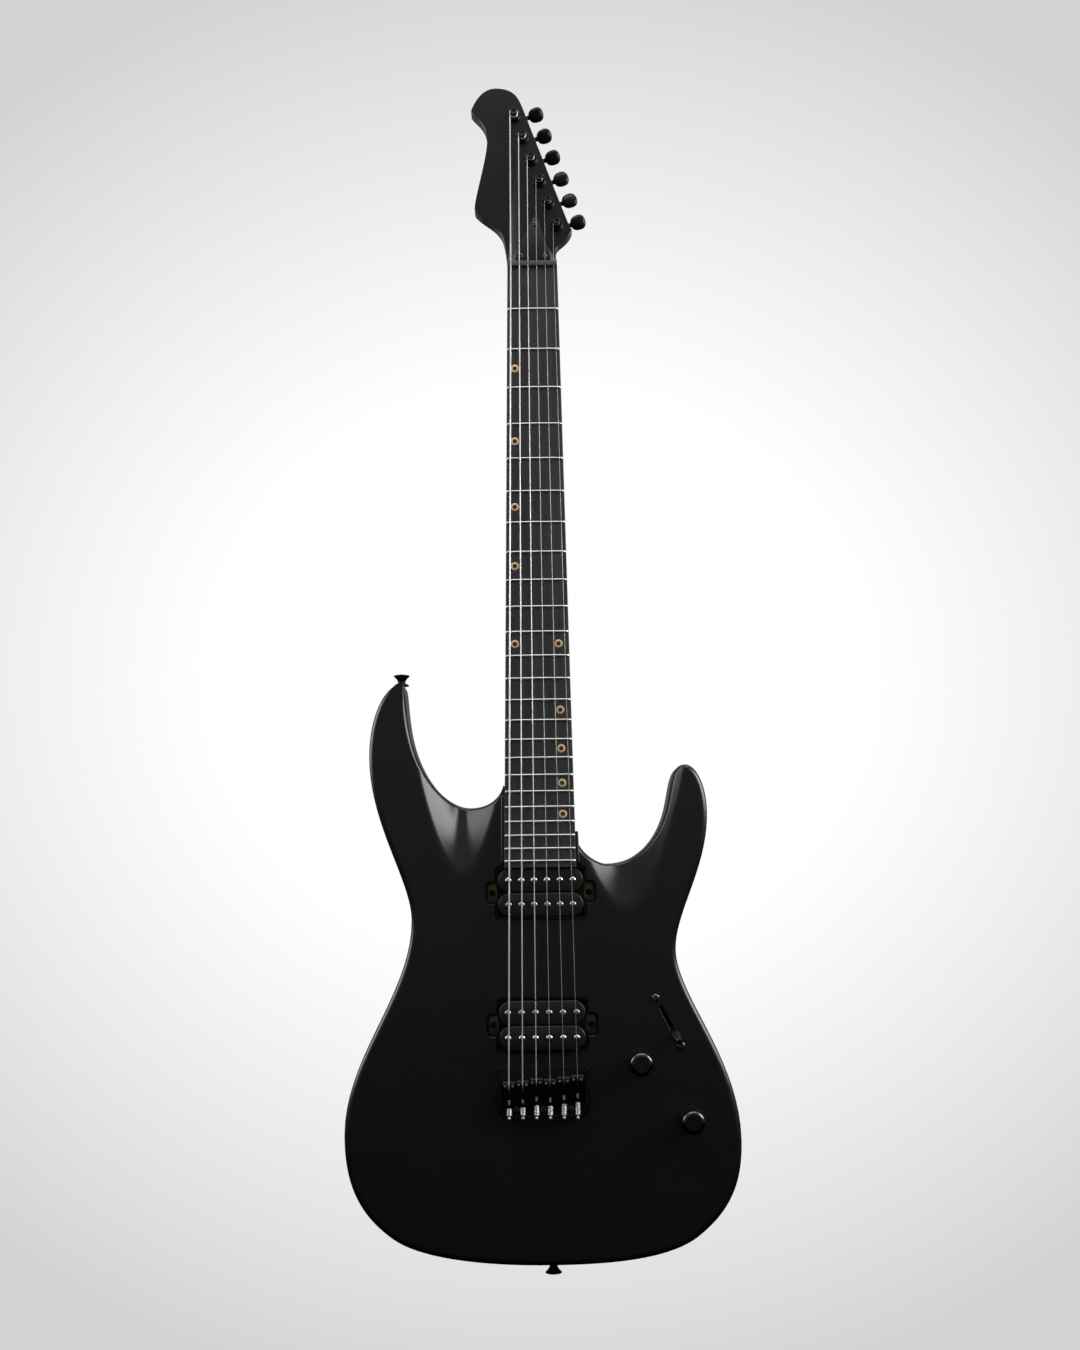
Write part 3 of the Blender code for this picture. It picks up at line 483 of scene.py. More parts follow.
def eased_ring(corners, radius, sides, axis="y"):
    """A turned ring with every corner of its profile rounded off but the first."""
    return ring_solid(rounded_profile(corners + corners[:1], radius, 3)[:-1], sides, axis)


def superellipse_ring(x, half_y, half_z, power, sides=40):
    ring = []
    for k in range(sides):
        angle = 2 * pi * k / sides
        y = copysign(abs(cos(angle)) ** (2 / power), cos(angle)) * half_y
        z = copysign(abs(sin(angle)) ** (2 / power), sin(angle)) * half_z
        ring.append((x, y, z))
    return ring


def put(bm, x=0.0, y=0.0, z=0.0, turn=0.0, matrix=None):
    """Turns a bmesh, about y unless a matrix is given, then moves it."""
    rotation = matrix if matrix else Matrix.Rotation(turn, 4, "Y")
    bmesh.ops.transform(bm, matrix=Matrix.Translation((x, y, z)) @ rotation, verts=bm.verts[:])
    return bm


def swung(bm, degrees, axis):
    return put(bm, matrix=Matrix.Rotation(radians(degrees), 4, axis))


def merged(parts):
    """One bmesh that holds several closed shapes."""
    bm = bmesh.new()
    for part in parts:
        mesh = bpy.data.meshes.new("part")
        part.to_mesh(mesh)
        part.free()
        bm.from_mesh(mesh)
        bpy.data.meshes.remove(mesh)
    return bm


def copies(make, places):
    """One bmesh with a shape made afresh at each (x, y, z, turn) place."""
    return merged([put(make(), *place) for place in places])


def to_object(name, bm):
    mesh = bpy.data.meshes.new(name)
    bm.to_mesh(mesh)
    bm.free()
    thing = bpy.data.objects.new(name, mesh)
    bpy.context.scene.collection.objects.link(thing)
    return thing


def finished(target, helpers=()):
    """A bmesh of the target with its modifiers applied; the target and its helpers are removed."""
    bpy.context.view_layer.update()
    evaluated = target.evaluated_get(bpy.context.evaluated_depsgraph_get())
    applied = bpy.data.meshes.new_from_object(evaluated)
    result = bmesh.new()
    result.from_mesh(applied)
    meshes = [applied]
    for thing in [target, *helpers]:
        meshes.append(thing.data)
        bpy.data.objects.remove(thing)
    for mesh in meshes:
        bpy.data.meshes.remove(mesh)
    return result


def combined(bm, tools, operation="DIFFERENCE"):
    """The bmesh with each tool shape cut out of it or joined to it."""
    target = to_object("target", bm)
    helpers = []
    for tool in tools:
        helpers.append(to_object("tool", tool))
        modifier = target.modifiers.new("tool", "BOOLEAN")
        modifier.operation = operation
        modifier.object = helpers[-1]
        modifier.solver = "MANIFOLD"
    return finished(target, helpers)


def bevelled(bm, width, segments=3, angle=35):
    """The bmesh with its sharp edges rounded off."""
    target = to_object("target", bm)
    modifier = target.modifiers.new("bevel", "BEVEL")
    modifier.width = width
    modifier.segments = segments
    modifier.limit_method = "ANGLE"
    modifier.angle_limit = radians(angle)
    return finished(target)


def add_piece(name, bm, material, body=ROOT, stands_for=None, sharp=38):
    """Turns a bmesh in millimetres into a finished piece that rides on a body."""
    bmesh.ops.dissolve_degenerate(bm, dist=0.0005, edges=bm.edges[:])
    bmesh.ops.scale(bm, vec=(MM, MM, MM), verts=bm.verts[:])
    piece = to_object(name, bm)
    piece.data.shade_smooth()
    piece.data.set_sharp_from_angle(angle=radians(sharp))
    piece.data.materials.append(material)
    if stands_for:
        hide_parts(stands_for)
    if body:
        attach(piece, body)
    return piece


def add_moving(name, bm, material, node, sharp=38):
    """A piece that takes the place of a node which is a moving body of its own."""
    return add_piece(name, bm, material, node, node, sharp)


# ---------- materials


def add_node(tree, kind, inputs, **settings):
    """A shader node whose inputs get values, or links where another node's output is given."""
    node = tree.nodes.new(kind)
    for key, value in settings.items():
        setattr(node, key, value)
    for socket, value in inputs.items():
        if isinstance(value, bpy.types.NodeSocket):
            tree.links.new(value, node.inputs[socket])
        else:
            node.inputs[socket].default_value = value
    return node


class Look:
    """One Principled material whose colour, roughness and relief follow noise."""

    def __init__(self, name, color, roughness, metallic=0.0, specular=0.5):
        self.material = bpy.data.materials.new(name)
        self.material.use_nodes = True
        self.tree = self.material.node_tree
        self.inputs = self.tree.nodes["Principled BSDF"].inputs
        self.inputs["Base Color"].default_value = (*color, 1.0)
        self.inputs["Roughness"].default_value = roughness
        self.inputs["Metallic"].default_value = metallic
        self.inputs["Specular IOR Level"].default_value = specular
        self.place = add_node(self.tree, "ShaderNodeTexCoord", {}).outputs["Object"]
        self.relief = {}

    def noise(self, per_metre, stretch=(1, 1, 1), detail=3.0, rough=0.55):
        mapping = add_node(self.tree, "ShaderNodeMapping", {"Vector": self.place, "Scale": stretch})
        place = mapping.outputs["Vector"]
        values = {"Vector": place, "Scale": per_metre, "Detail": detail, "Roughness": rough}
        return add_node(self.tree, "ShaderNodeTexNoise", values).outputs["Fac"]

    def bands(self, per_metre, direction="Z", distortion=0.0):
        values = {"Vector": self.place, "Scale": per_metre, "Distortion": distortion}
        return add_node(self.tree, "ShaderNodeTexWave", values, bands_direction=direction).outputs["Fac"]

    def remap(self, factor, low, high, start, end):
        values = {"Value": factor, "From Min": start, "From Max": end, "To Min": low, "To Max": high}
        return add_node(self.tree, "ShaderNodeMapRange", values).outputs["Result"]

    def tint(self, factor, low, high, start=0.3, end=0.7):
        """Base colour runs from low to high as the factor rises."""
        values = {"Factor": self.remap(factor, 0.0, 1.0, start, end), "A": (*low, 1.0), "B": (*high, 1.0)}
        colors = add_node(self.tree, "ShaderNodeMix", values, data_type="RGBA")
        self.tree.links.new(colors.outputs["Result"], self.inputs["Base Color"])

    def wear(self, factor, low, high):
        """Roughness runs from low to high as the factor rises."""
        self.tree.links.new(self.remap(factor, low, high, 0.3, 0.7), self.inputs["Roughness"])

    def bump(self, height, millimetres, strength=1.0):
        values = {"Distance": millimetres * MM, "Strength": strength, "Height": height, **self.relief}
        normal = add_node(self.tree, "ShaderNodeBump", values).outputs["Normal"]
        self.relief = {"Normal": normal}
        self.tree.links.new(normal, self.inputs["Normal"])


def varied(color, amount):
    return [tuple(channel * (1 + change) for channel in color) for change in (-amount, amount)]


def lacquer(name, color=(0.0036, 0.0042, 0.0045)):
    """Satin black lacquer with orange peel and faint handling marks."""
    look = Look(name, color, 0.24)
    look.tint(look.noise(26, detail=4), *varied(color, 0.10))
    look.wear(look.noise(40, detail=4, rough=0.6), 0.225, 0.255)
    look.bump(look.noise(600, detail=2), 0.004)
    look.bump(look.noise(45, detail=2), 0.012)
    return look.material


def open_grain_wood(name):
    """Oiled black fretboard wood: long streaks and fine open pores along z."""
    look = Look(name, (0.020, 0.019, 0.019), 0.5, specular=0.4)
    streaks = look.noise(260, stretch=(1, 1, 0.035), detail=6, rough=0.65)
    look.tint(streaks, (0.012, 0.0115, 0.0115), (0.032, 0.030, 0.0285))
    look.wear(look.noise(500, stretch=(1, 1, 0.05), detail=3), 0.42, 0.60)
    look.bump(look.noise(1400, stretch=(1, 1, 0.04), detail=3), 0.05)
    return look.material


def plated(name, color, roughness, metallic=0.9, variation=0.10, marks=0.06):
    """Cast and plated metal: soft mottling, fine scuffs and a barely uneven surface."""
    look = Look(name, color, roughness, metallic)
    look.tint(look.noise(180, detail=4), *varied(color, variation))
    look.wear(look.noise(420, detail=5, rough=0.65), roughness - marks, roughness + marks)
    look.bump(look.noise(900, detail=2), 0.008)
    return look.material


def brushed(name, color, roughness, stretch):
    """Metal with fine drawn or turned lines."""
    look = Look(name, color, roughness, 1.0)
    look.tint(look.noise(120, detail=3), *varied(color, 0.08))
    look.wear(look.noise(900, stretch=stretch, detail=4), roughness - 0.07, roughness + 0.09)
    look.bump(look.noise(2200, stretch=stretch, detail=2), 0.004)
    return look.material


def moulded_plastic(name, color, roughness, texture=0.012, specular=0.42):
    """Moulded plastic with a fine matte texture and slight flow marks."""
    look = Look(name, color, roughness, specular=specular)
    look.tint(look.noise(70, detail=4), *varied(color, 0.15))
    look.wear(look.noise(300, detail=4), roughness - 0.05, roughness + 0.05)
    look.bump(look.noise(1600, detail=2), texture)
    return look.material


def aged_brass(name):
    look = Look(name, (0.15, 0.12, 0.055), 0.42, 0.9)
    look.tint(look.noise(150, detail=6, rough=0.7), (0.10, 0.078, 0.036), (0.21, 0.165, 0.08))
    look.wear(look.noise(320, detail=5), 0.28, 0.50)
    look.bump(look.noise(700, detail=3), 0.01)
    return look.material


def drawn_wire(name, color):
    """Smooth drawn wire with long faint streaks."""
    look = Look(name, color, 0.36, 0.85)
    look.tint(look.noise(400, stretch=(1, 1, 0.03), detail=3), *varied(color, 0.12))
    look.wear(look.noise(300, stretch=(1, 1, 0.05), detail=3), 0.32, 0.42)
    return look.material


def wound_wire(name):
    """Round steel wire wrapped with fine nickel wire, one turn every WRAP_PITCH."""
    look = Look(name, (0.66, 0.655, 0.64), 0.38, 0.8)
    turns = look.bands(1 / (WRAP_PITCH * MM * 2 * pi), distortion=0.2)
    # The colour darkens and lightens with each turn: painted shade in the grooves between the turns.
    look.tint(turns, (0.50, 0.49, 0.48), (0.80, 0.795, 0.78), 0.2, 0.8)
    look.wear(look.noise(300, stretch=(1, 1, 0.1), detail=3), 0.32, 0.40)
    look.bump(turns, 0.012, 0.5)
    return look.material


def pickup_winding(name):
    """Fine copper wire under black tape."""
    look = Look(name, (0.010, 0.010, 0.010), 0.55)
    threads = look.bands(2600, direction="Y", distortion=1.5)
    look.tint(threads, (0.007, 0.006, 0.006), (0.020, 0.015, 0.012), 0.2, 0.8)
    look.bump(threads, 0.03, 0.4)
    look.wear(look.noise(300, detail=3), 0.48, 0.62)
    return look.material


PAINT = lacquer("satin_black_lacquer")
BOARD_WOOD = open_grain_wood("oiled_black_wood")
FRET_METAL = brushed("fret_nickel", (0.60, 0.595, 0.58), 0.30, (0.06, 1, 1))
INLAY_METAL = plated("ring_inlay_brass", (0.95, 0.66, 0.36), 0.50)
NUT_MATERIAL = moulded_plastic("dark_nut_composite", (0.055, 0.056, 0.058), 0.42)
NUT_LIGHT = moulded_plastic("pale_dot_plastic", (0.60, 0.59, 0.55), 0.4)
BLACK_METAL = plated("black_plated_metal", (0.020, 0.021, 0.022), 0.32)
BLACK_SATIN_METAL = plated("black_satin_metal", (0.010, 0.0102, 0.0106), 0.30)
KNOB_METAL = plated("black_turned_metal", (0.105, 0.106, 0.109), 0.09, metallic=1.0, marks=0.02)
SCREW_BLACK = plated("blackened_screw_steel", (0.12, 0.12, 0.125), 0.24, metallic=1.0, variation=0.3)
# Matte black steel for the pickup screws. On the switch body it is painted shade for the dark inside of the slot.
DEEP_BLACK_AND_SLOT_SHADE = plated("matte_black_steel_and_slot_shade", (0.008, 0.008, 0.008), 0.45, metallic=0.6)
# The base plate is the same brass as its ears but painted nearly black: painted shade where the coils shade it.
BASE_BRASS_PAINTED_SHADE = plated("brass_plate_painted_shade", (0.022, 0.017, 0.010), 0.45)
ZINC_STEEL = plated("zinc_plated_steel", (0.92, 0.92, 0.91), 0.34, metallic=0.45)
BRIGHT_STEEL = plated("bright_screw_steel", (0.78, 0.78, 0.77), 0.28, metallic=0.75)
SPRING_STEEL = plated("spring_steel", (0.66, 0.66, 0.65), 0.28, metallic=0.85)
POLE_STEEL = plated("nickel_pole_steel", (0.70, 0.69, 0.67), 0.22, metallic=1.0)
# A darker copy of the pole steel: painted shade for the slotted pole screws, which look dimmer than the slugs.
POLE_STEEL_PAINTED_SHADE = plated("pole_steel_painted_shade", (0.50, 0.50, 0.49), 0.24, metallic=1.0, variation=0.2)
PLAIN_WIRE = drawn_wire("plain_string_steel", (0.40, 0.41, 0.42))
WOUND_WIRE = wound_wire("nickel_wound_wire")
BOBBIN = moulded_plastic("bobbin_black_plastic", (0.005, 0.005, 0.0052), 0.36)
WINDING = pickup_winding("taped_pickup_winding")
BRASS = aged_brass("aged_brass_plate")
COVER_PLASTIC = moulded_plastic("textured_cover_plastic", (0.006, 0.006, 0.0065), 0.36, texture=0.02)
HARD_PLASTIC = moulded_plastic("switch_cap_plastic", (0.006, 0.006, 0.0065), 0.22, specular=0.2)
ROD_STEEL = brushed("zinc_rod_steel", (0.55, 0.55, 0.54), 0.34, (1, 1, 0.05))
CAN_STEEL = brushed("pressed_can_steel", (0.50, 0.50, 0.49), 0.36, (1, 0.1, 1))
RUBBER = moulded_plastic("black_washer_felt", (0.02, 0.02, 0.02), 0.8, texture=0.05)


# ---------- screws


def dome_profile(radius, height, flat, rim):
    """The profile of a dome facing -Y; flat and rim are shares of its radius and its height."""
    profile = []
    for step in range(7):
        angle = radians(90 * step / 6)
        inset = max(radius * (flat + (1 - flat) * cos(angle)), 0.05)
        profile.append((inset, -height * (rim + (1 - rim) * sin(angle))))
    return profile


def cross_screw(radius, height, recess=0.62, foot=1.0):
    """A domed screw head facing -Y with a cross recess; its underside is at y = 0."""
    profile = [(radius * foot, 0.0)] + dome_profile(radius, height, 0.55, 0.35) + [(0.05, -height)]
    reach = radius * recess
    width = radius * 0.16
    bars = []
    for turn in (0, pi / 2):
        outer = centred_box(reach, width)
        inner = centred_box(reach * 0.45, width * 0.6)
        bar = skin([[(x, -height - 0.5, z) for x, z in outer], [(x, -height * 0.1, z) for x, z in inner]])
        bars.append(put(bar, turn=turn))
    return combined(turned(profile, 32), bars)


def domed_pole(radius, height):
    return turned([(radius, 1.0)] + dome_profile(radius, height, 0.0, 0.3), 36)


def slotted_pole(radius, height):
    """A low domed pole screw facing -Y with a slot across it."""
    slot = block(-radius * 1.2, radius * 1.2, -height - 0.5, -height + 0.6, -0.35, 0.35)
    return put(combined(domed_pole(radius, height), [slot]), turn=SLOT_TURN)


def helix(radius, wire_radius, start, end, turns, sides=8, steps_per_turn=20):
    """A coil spring along z."""
    rings = []
    total = int(turns * steps_per_turn)
    for i in range(total + 1):
        angle = 2 * pi * i / steps_per_turn
        outward = Vector((cos(angle), sin(angle), 0))
        centre = radius * outward + Vector((0, 0, mix(start, end, i / total)))
        ring = []
        for k in range(sides):
            around = 2 * pi * k / sides
            ring.append(centre + wire_radius * (cos(around) * outward + sin(around) * Vector((0, 0, 1))))
        rings.append(ring)
    return skin(rings)


# ---------- body


def past_rim(x, z, scoop):
    """How far a point lies up the body from the scoop's curved rim; negative outside it."""
    centre_x, tip_z, spread = scoop
    return (z - tip_z) - (x - centre_x) ** 2 / spread


def gouge(x, z):
    """How deep the scooped cutaways go below the flat front at a point."""
    depth = 0.0
    for scoop in SCOOPS:
        flare = 1 + (2 * (x - scoop[0]) / scoop[2]) ** 2
        raw = SCOOP_SLOPE * past_rim(x, z, scoop) / flare ** SCOOP_EASING
        if raw > SCOOP_SOFTNESS:
            depth += raw
        elif raw > -SCOOP_SOFTNESS:
            depth += (raw + SCOOP_SOFTNESS) ** 2 / (4 * SCOOP_SOFTNESS)
    return depth


def body_outline():
    """The outline's curve, closed by a straight line under the neck."""
    curve = bezier_path(BODY_NODES, 18)
    return curve + [curve[-1].lerp(curve[0], k / 20) for k in range(1, 20)]


def inside(loop, x, z, margin):
    """Whether a point is inside a closed line and not closer to it than the margin."""
    within = False
    for a, b in zip(loop, loop[1:] + loop[:1]):
        if (a.y > z) != (b.y > z) and x < a.x + (b.x - a.x) * (z - a.y) / (b.y - a.y):
            within = not within
        if min(a.x, b.x) - margin < x < max(a.x, b.x) + margin \
                and min(a.y, b.y) - margin < z < max(a.y, b.y) + margin:
            here = Vector((x, z)) - a
            along = b - a
            share = max(0.0, min(1.0, here.dot(along) / along.length_squared))
            if (here - along * share).length < margin:
                return False
    return within


def inner_points(loop):
    """Extra points for the front face: dense where the scoops curve and along their rims."""
    points = []
    low_x = min(p.x for p in loop)
    high_x = max(p.x for p in loop)
    low_z = min(p.y for p in loop)
    high_z = max(p.y for p in loop)
    for row in range(int((high_z - low_z) / FACE_SPACING)):
        z = low_z + row * FACE_SPACING
        for column in range(int((high_x - low_x) / FACE_SPACING)):
            x = low_x + (column + 0.5 * (row % 2)) * FACE_SPACING
            nearest = max(past_rim(x, z, scoop) for scoop in SCOOPS)
            if abs(nearest) < RIM_BAND:
                every = 1
            else:
                every = 2 if nearest > 0 else 8
            if row % every == 0 and column % every == 0 and inside(loop, x, z, 0.6):
                points.append(Vector((x, z)))
    return points


def edge_reach(outline, normals):
    """How far the rounded edge comes in at each point: less where the outline turns tightly."""
    count = len(outline)
    reach = [EDGE_RADIUS - min(SCOOP_EDGE_THINNING, gouge(p.x, p.y)) for p in outline]
    for _ in range(200):
        inner = [p - n * (r + GUARD) for p, n, r in zip(outline, normals, reach)]
        crossed = []
        for i in range(count):
            outer_step = outline[(i + 1) % count] - outline[i]
            if (inner[(i + 1) % count] - inner[i]).dot(outer_step) < 0.3 * outer_step.length_squared:
                crossed.append(i)
        if not crossed:
            break
        for i in crossed:
            for j in (i - 1, i, i + 1, i + 2):
                reach[j % count] *= 0.93
    for _ in range(60):
        for i in range(count):
            step = (outline[i] - outline[i - 1]).length * REACH_SLOPE
            reach[i] = min(reach[i], reach[i - 1] + step)
            reach[i - 1] = min(reach[i - 1], reach[i] + step)
    for _ in range(3):
        reach = [min(r, (reach[i - 1] + r + reach[(i + 1) % count]) / 3) for i, r in enumerate(reach)]
    return reach


def fill_face(bm, ring, extra):
    """Triangles across a closed ring, through extra points that follow the scooped front."""
    count = len(ring)
    loop = [Vector((v.co.x, v.co.z)) for v in ring]
    edges = [(i, (i + 1) % count) for i in range(count)]
    flat = delaunay_2d_cdt(loop + extra, edges, [], 1, 1e-5)
    corners = {}
    for i, sources in enumerate(flat[3]):
        if sources and sources[0] < count:
            corners[i] = ring[sources[0]]
        else:
            p = flat[0][i]
            corners[i] = bm.verts.new((p.x, FRONT + gouge(p.x, p.y), p.y))
    for face in flat[2]:
        bm.faces.new([corners[i] for i in face])


def body_blank():
    """The slab with rounded edges and scooped cutaways, before anything is cut into it."""
    outline = body_outline()
    count = len(outline)
    steps = [outline[(i + 1) % count] - outline[i - 1] for i in range(count)]
    normals = [Vector((step.y, -step.x)).normalized() for step in steps]
    reach = edge_reach(outline, normals)
    bm = bmesh.new()

    def ring(share, guard, rise, on_front):
        """Vertices set in from the outline, a rise away from the front or the back face."""
        points = [p - n * (r * share + guard) for p, n, r in zip(outline, normals, reach)]
        depths = [FRONT + gouge(p.x, p.y) + rise if on_front else -rise for p in points]
        return [bm.verts.new((p.x, y, p.y)) for p, y in zip(points, depths)]

    angles = [radians(90 * step / EDGE_STEPS) for step in range(EDGE_STEPS + 1)]
    rings = [ring(1, GUARD, 0, True)]
    rings += [ring(1 - sin(angle), 0, EDGE_RADIUS * (1 - cos(angle)), True) for angle in angles]
    rings += [ring(1 - sin(angle), 0, EDGE_RADIUS * (1 - cos(angle)), False) for angle in reversed(angles)]
    for low, high in zip(rings[:-1], rings[1:]):
        for i in range(count):
            bm.faces.new((low[i], low[(i + 1) % count], high[(i + 1) % count], high[i]))
    fill_face(bm, rings[0], inner_points([Vector((v.co.x, v.co.z)) for v in rings[0]]))
    fill_face(bm, rings[-1], [])
    bmesh.ops.recalc_face_normals(bm, faces=bm.faces[:])
    return bm


def neck_pocket():
    start = HEEL_START - GAP
    end = 240
    right = [(board_half_width(start) + GAP, start), (board_half_width(end) + GAP, end)]
    return prism(mirrored(right), FRONT - 8, POCKET_FLOOR)


def shoulder_rail(side, top):
    """The strip of body left standing beside the fretboard."""
    inner = board_half_width(HEEL_START) - 0.6
    low = HEEL_START - 1.2
    corners = [(inner, low), (inner + 3.6, low), (inner + 2.7, top), (inner - 0.9, top)]
    if side < 0:
        corners = [(-x, z) for x, z in reversed(corners)]
    return bevelled(prism(corners, BOARD_UNDERSIDE + 0.2, FRONT + 6), 0.9, 4)


def rimmed_cutter(outline, surface, floor, chamfer):
    """A cutter along y whose rim is eased by a small chamfer at the surface."""
    away = copysign(6.0, surface - floor)
    ease = copysign(chamfer, floor - surface)
    return stepped_prism(outline, [(surface + away, chamfer + abs(away)), (surface, chamfer),
                                   (surface + ease, 0.0), (floor, 0.0)])


def switch_slot():
    place = joint_place("switch_lever_swing")
    turn = Matrix.Rotation(SWITCH_RUN, 2)
    points = [turn @ p + Vector((place.x, place.z)) for p in stadium(13.2, 3.0, 0.0, 8)]
    return rimmed_cutter(points, FRONT, CAVITY_TOP + 2, 0.3)


def pickup_rout(pickup):
    """A pickup's rout with its two ears."""
    centre = node_centre(pickup + "_pickup_base").z
    main = rounded_polygon(centred_box(*ROUT, z=centre), ROUT_CORNER)
    ears = rounded_polygon(centred_box(*EAR_ROUT, z=centre), ROUT_CORNER)
    main = rimmed_cutter(main, FRONT, ROUT_FLOOR, 0.5)
    return combined(main, [rimmed_cutter(ears, FRONT, EAR_ROUT_FLOOR, 0.5)], "UNION")


def front_cutters():
    cutters = [pickup_rout("neck"), pickup_rout("bridge"), switch_slot()]
    bore = [(STRING_HOLE, FRONT - 5), (STRING_HOLE, FERRULE_SEAT), (FERRULE_BORE, FERRULE_SEAT),
            (FERRULE_BORE, 5)]
    for knob in ("volume_knob", "tone_knob"):
        place = node_centre(knob)
        cutters.append(rod(KNOB_BORE, FRONT - 3, CAVITY_TOP + 2, place.x, 0, place.z))
    for number in STRINGS:
        cutters.append(put(turned(bore, 24), string_x_saddle(number), 0, bore_z(number)))
    return cutters


def back_cutters():
    cavity = rounded_polygon(CAVITY_CORNERS, CAVITY_RADIUS)
    plate = rounded_polygon(NECK_PLATE_CORNERS, 4.0)
    return [
        prism(cavity, CAVITY_TOP, 5),
        rimmed_cutter(offset(cavity, COVER_LIP), 0.0, -COVER_THICKNESS - GAP, 0.3),
        rimmed_cutter(offset(plate, GAP), 0.0, -NECK_PLATE_THICKNESS - GAP, 0.3),
    ]


def jack_bore():
    jack = node_centre("output_jack")
    turn = edge_mount("output_jack_face")[2]
    return rod(JACK_BORE, -22, 25, jack.x, EDGE_MIDDLE, jack.z, turn, "x")


def make_body():
    rails = [shoulder_rail(-1, LEFT_RAIL_TOP), shoulder_rail(1, RIGHT_RAIL_TOP)]
    body = combined(body_blank(), rails, "UNION")
    body = combined(body, [neck_pocket()] + back_cutters())
    body = combined(body, [merged(front_cutters()), jack_bore()])
    add_piece("body_shell", body, PAINT, stands_for="body", sharp=28)


# ---------- back hardware


def flat_plate(outline, thickness, holes, edge):
    """A plate in the back with eased edges and screw holes countersunk from behind."""
    profile = [(1.7, -thickness - 1), (1.7, -1.6), (3.4, 0.1), (3.4, 2)]
    sinks = [put(turned(profile, 32), x, 0, z) for x, z in holes]
    return combined(bevelled(prism(outline, -thickness, 0.0), edge, 3), [merged(sinks)])


def back_screws(name, places, radius, depth):
    """Countersunk cross screws seen from behind, with their heads level with the plate."""
    def make():
        shank = rod(radius * 0.5, depth, -0.2, sides=20)
        return swung(combined(cross_screw(radius, radius * 0.35), [shank], "UNION"), 180, "Z")
    add_piece(name, copies(make, [(x, -radius * 0.35 - 0.1, z, 0.0) for x, z in places]), SCREW_BLACK)


def make_back():
    plate = rounded_polygon(NECK_PLATE_CORNERS, 4.0)
    plate = flat_plate(plate, NECK_PLATE_THICKNESS, NECK_BOLTS, 0.5)
    add_piece("neck_plate_metal", plate, BLACK_METAL, stands_for="neck_plate")
    back_screws("neck_bolts", NECK_BOLTS, 3.3, 2.5)
    cover = offset(rounded_polygon(CAVITY_CORNERS, CAVITY_RADIUS), COVER_LIP - GAP)
    places = [(p.x, p.y) for p in offset(CAVITY_CORNERS, -1.2)]
    cover = flat_plate(cover, COVER_THICKNESS, places, 0.4)
    add_piece("control_cover_plastic", cover, COVER_PLASTIC, stands_for="control_cover")
    back_screws("cover_screws", places, 2.9, 1.9)
    ferrule = [(1.6, -8.6), (3.7, -8.6), (3.7, -0.1), (3.0, -0.1), (2.3, -1.2), (2.3, -6.4), (1.6, -6.4)]
    ferrule = rounded_profile(ferrule, 0.3)
    places = [(string_x_saddle(number), 0, bore_z(number), 0.0) for number in STRINGS]
    add_piece("string_ferrules", copies(lambda: ring_solid(ferrule, 40), places), BLACK_METAL)


# ---------- neck


def neck_section(z, half_width, top, depth, power, steps=28):
    ring = []
    for i in range(steps + 1):
        angle = pi * i / steps
        across = copysign(abs(cos(angle)) ** (2 / power), cos(angle))
        down = abs(sin(angle)) ** (2 / power)
        ring.append((half_width * across, top + depth * down, z))
    return ring


def neck_shaft():
    """The neck from its square heel, through a rounded shaft, to the drop behind the nut."""
    rings = []
    for low, high in zip(NECK_STATIONS[:-1], NECK_STATIONS[1:]):
        steps = 10 if high[0] - low[0] > 20 else 5
        for k in range(steps):
            ease = smooth(k / steps) if low[2] != high[2] else k / steps
            z = mix(low[0], high[0], k / steps)
            depth = mix(low[1], high[1], ease)
            power = mix(low[2], high[2], ease)
            rings.append(neck_section(z, board_half_width(z), BOARD_UNDERSIDE, depth, power))
    face = HEAD_FACE + 0.4
    for k in range(9):
        share = k / 8
        top = face - (face - BOARD_UNDERSIDE) * (1 - sin(share * pi / 2))
        bottom = mix(BOARD_UNDERSIDE + NECK_STATIONS[-1][1], HEAD_BACK - 0.6, smooth(share))
        z = SHAFT_END + HEAD_DROP * share
        rings.append(neck_section(z, mix(20.5, 19.6, share), top, bottom - top, 2.8))
    return skin(rings)


def headstock_blank():
    outline = bezier_path(HEAD_NODES, 10)
    chamfered = bevelled(prism(outline, HEAD_FACE, HEAD_BACK), HEAD_CHAMFER, 1, 40)
    return bevelled(chamfered, 0.35, 2, 25)


def make_neck():
    bores = []
    for number in STRINGS:
        place = joint_place(f"tuner_post_{number}_turn")
        bores.append(rod(TUNER_BORE, HEAD_FACE - 3, HEAD_BACK + 3, place.x, 0, place.z))
    channel = block(-TRUSS_CHANNEL_HALF, TRUSS_CHANNEL_HALF, BOARD_UNDERSIDE - 4, TRUSS_CHANNEL_FLOOR,
                    *TRUSS_CHANNEL)
    neck = combined(neck_shaft(), [headstock_blank()], "UNION")
    neck = combined(neck, [merged(bores), channel])
    add_piece("neck_and_headstock", neck, PAINT, stands_for="neck", sharp=32)


def make_truss_rod_cover():
    low, high = node_box("truss_rod_cover")
    corners = [(-15, 656.5), (16, 656.5), (10, 676), (5, 694), (1, 694), (-7, 676)]
    cover = bevelled(prism(rounded_polygon(corners, 1.5), low.y, high.y), 0.45, 3)
    add_piece("truss_cover_plastic", cover, COVER_PLASTIC, stands_for="truss_rod_cover")
    y = low.y + 0.05
    places = [(3.0, y, 688.0, 0.4), (-9.5, y, 660.5, 0.9), (10.5, y, 660.5, 0.2)]
    add_piece("truss_cover_screws", copies(lambda: cross_screw(1.9, 0.9), places), SCREW_BLACK)


